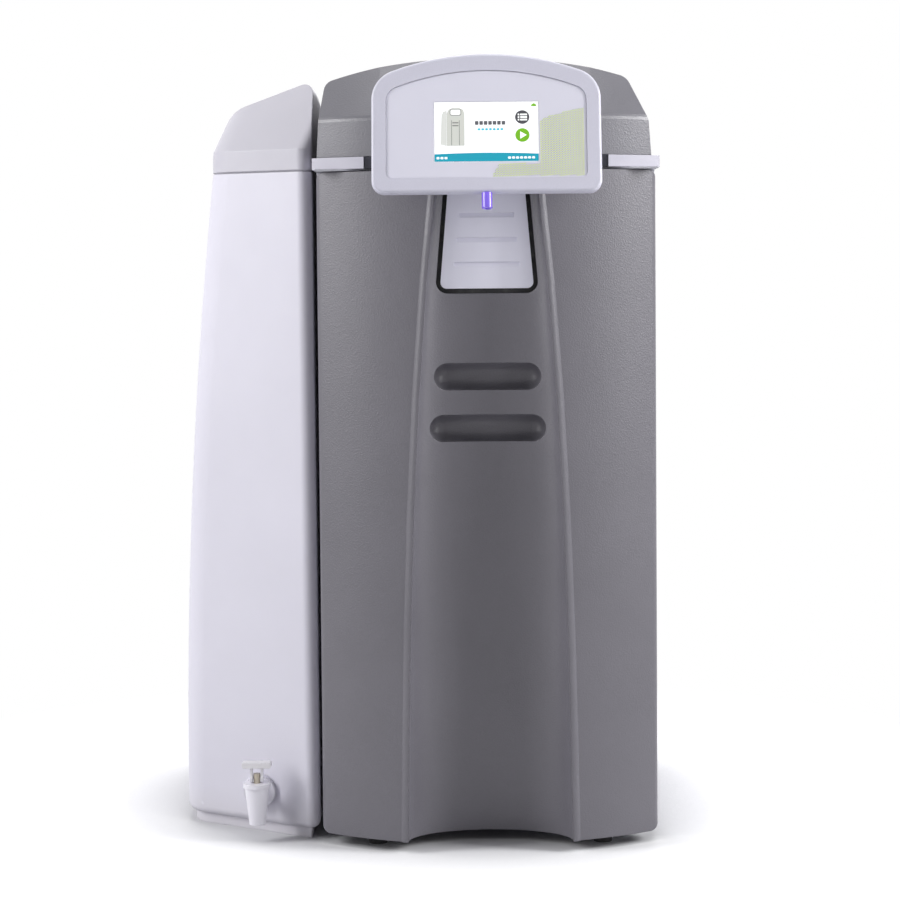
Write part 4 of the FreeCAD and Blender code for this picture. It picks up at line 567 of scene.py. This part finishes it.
def relief(name, outlines, back, thick, material):
    """One thin piece from outlines in mm on the head's face.

    x runs to the right and z up the face. The piece stands out towards the front from depth back.
    """
    shape = bmesh.new()
    for outline in outlines:
        rear = [shape.verts.new((x / 1000, back / 1000, z / 1000)) for x, z in outline]
        front = [shape.verts.new((x / 1000, (back - thick) / 1000, z / 1000)) for x, z in outline]
        shape.faces.new(front)
        shape.faces.new(list(reversed(rear)))
        for one, two in zip(range(len(outline)), [*range(1, len(outline)), 0]):
            shape.faces.new((rear[one], rear[two], front[two], front[one]))
    bmesh.ops.recalc_face_normals(shape, faces=shape.faces)
    lean = Matrix.Rotation(math.radians(HEAD_LEAN), 4, "X")
    shape.transform(Matrix.Translation(HEAD_ORIGIN) @ lean)
    mesh = bpy.data.meshes.new(name)
    shape.to_mesh(mesh)
    shape.free()
    mesh.materials.append(material)
    piece = bpy.data.objects.new(name, mesh)
    bpy.context.scene.collection.objects.link(piece)
    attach(piece, "cabinet")


def disc(x, z, radius, steps=36):
    turns = (math.tau * step / steps for step in range(steps))
    return [(x + radius * math.cos(a), z + radius * math.sin(a)) for a in turns]


def bar(x, z, width, height):
    return [(x, z), (x + width, z), (x + width, z + height), (x, z + height)]


def round_bar(x, z, width, height, radius, steps=5):
    """A bar with rounded corners, from its lower left corner."""
    points = []
    corners = (
        (x + width - radius, z + radius, -90),
        (x + width - radius, z + height - radius, 0),
        (x + radius, z + height - radius, 90),
        (x + radius, z + radius, 180),
    )
    for centre_x, centre_z, start in corners:
        for step in range(steps + 1):
            angle = math.radians(start + 90 * step / steps)
            across, rise = radius * math.cos(angle), radius * math.sin(angle)
            points.append((centre_x + across, centre_z + rise))
    return points


def blocks(count, x, z, pitch, size):
    """A row of small rounded blocks, in place of a word."""
    return [round_bar(x + pitch * number, z, *size) for number in range(count)]


def cloud(x, z, size):
    """A small cloud sign: a flat foot under three bumps."""
    points = [(x - CLOUD_HALF_FOOT * size, z), (x + CLOUD_HALF_FOOT * size, z)]
    for bump_x, bump_z, radius, start, end in CLOUD_BUMPS:
        for step in range(CLOUD_STEPS + 1):
            angle = math.radians(start + (end - start) * step / CLOUD_STEPS)
            across = bump_x + radius * math.cos(angle)
            rise = bump_z + radius * math.sin(angle)
            points.append((x + size * across, z + size * rise))
    return points


def foot_bar():
    """The coloured bar along the screen's foot, its upper edge a little crowned."""
    half, foot = SCREEN_HALF - FOOT_BAR_INSET, SCREEN_FOOT + FOOT_BAR_INSET
    points = [(-half, foot), (half, foot)]
    for step in range(FOOT_BAR_STEPS + 1):
        share = 1 - 2 * step / FOOT_BAR_STEPS
        crown = FOOT_BAR_CROWN * (1 - share * share)
        points.append((share * half, SCREEN_FOOT + FOOT_BAR_HEIGHT + crown))
    return points


def draw_screen():
    """A plain welcome page: foot bar, machine, two lines of blocks, two buttons and a cloud.

    Each row: name, outlines, how far it is raised from the glass, its thickness, its material.
    """
    marks = []
    for count, start in MARK_ROWS:
        marks += blocks(count, start, SCREEN_FOOT + MARK_RISE, MARK_PITCH, MARK_SIZE)
    strokes = [bar(*line) for line in ICON_LINES] + [round_bar(*ICON_HEAD)]
    plate = [round_bar(*ICON_PLATE)]
    list_button = disc(BUTTON_X, LIST_BUTTON_Z, BUTTON_RADIUS)
    play_button = disc(BUTTON_X, PLAY_BUTTON_Z, BUTTON_RADIUS)
    signs = [PLAY_SIGN]
    for number in range(3):
        for x, width in LIST_COLUMNS:
            signs.append(bar(x, LIST_FOOT + LIST_PITCH * number, width, LIST_THICK))
    green = lit("screen_green", (106, 170, 16))
    rows = (
        ("screen_foot_bar", [foot_bar()], 0, 0.12, lit("screen_teal", (2, 146, 170))),
        ("screen_foot_marks", marks, 0.12, 0.1, lit("screen_white", (232, 244, 247))),
        ("screen_icon_body", [ICON_BODY], 0, 0.12, lit("screen_pale", (194, 196, 190))),
        ("screen_icon_side", [ICON_SIDE], 0, 0.12, lit("screen_paler", (204, 206, 202))),
        ("screen_icon_strokes", strokes, 0.12, 0.08, lit("screen_stroke", (128, 130, 126))),
        ("screen_icon_plate", plate, 0.2, 0.06, lit("screen_plate", (240, 241, 240))),
        ("screen_title", blocks(*TITLE), 0, 0.12, lit("screen_ink", (84, 86, 92))),
        ("screen_line", blocks(*SECOND_LINE), 0, 0.12, lit("screen_blue", (70, 184, 202))),
        ("screen_button_dark", [list_button], 0, 0.14, lit("screen_dark", (66, 66, 72))),
        ("screen_button_green", [play_button], 0, 0.14, green),
        ("screen_signs", signs, 0.14, 0.1, lit("screen_sign", (246, 248, 246))),
        ("screen_cloud", [cloud(*CLOUD)], 0, 0.12, green),
    )
    for name, outlines, raised, thick, material in rows:
        relief(name, outlines, SCREEN_FRONT - raised, thick, material)


def in_field(x, z):
    """Whether a place on the head's face is in the printed field beside and below the screen."""
    corner_x, corner_z = FIELD_CORNER
    if x > FIELD_RIGHT or z < FIELD_FOOT:
        return False
    if x > corner_x and z < corner_z:
        if math.hypot(x - corner_x, z - corner_z) > FIELD_CORNER_RADIUS:
            return False
    if x < SCREEN_HALF + FIELD_SIDE_GAP:
        left = FIELD_LEFT + FIELD_LEFT_SLOPE * (z - FIELD_LEFT_Z)
        return z < SCREEN_FOOT - FIELD_UNDER_GAP and x > left
    return z < FIELD_SHOULDER + FIELD_RISE * ((x - SCREEN_HALF) / FIELD_RUN) ** FIELD_BEND


def lozenge(x, z, width, height):
    lean = height * LOZENGE_LEAN
    half, rise = width / 2, height / 2
    return [
        (x - half - lean, z - rise),
        (x + half - lean, z - rise),
        (x + half + lean, z + rise),
        (x - half + lean, z + rise),
    ]


def draw_field():
    """Small slanted lozenges, on rows that rise a little to the right, green and grey in turn."""
    start_x, start_z = FIELD_START
    green, grey = [], []
    for row in range(FIELD_ROWS):
        for column in range(FIELD_COLUMNS):
            x = start_x + column * FIELD_PITCH + (FIELD_PITCH / 2 if row % 2 else 0.0)
            z = start_z + row * FIELD_ROW_PITCH + FIELD_BOW * (x - FIELD_BOW_X) ** 2
            if not in_field(x, z):
                continue
            if row % 2:
                grey.append(lozenge(x, z, *GREY_LOZENGE))
            else:
                green.append(lozenge(x, z, *GREEN_LOZENGE))
    ink_green = printed("ink_green", (198, 222, 66))
    ink_grey = printed("ink_grey", (152, 150, 162))
    relief("fascia_pattern_green", green, FASCIA_FRONT, 0.08, ink_green)
    relief("fascia_pattern_grey", grey, FASCIA_FRONT, 0.08, ink_grey)


place_camera()
light_room()
lay_floor()
dress_nodes(make_finishes())
draw_screen()
draw_field()
bpy.context.scene.view_settings.view_transform = "Standard"
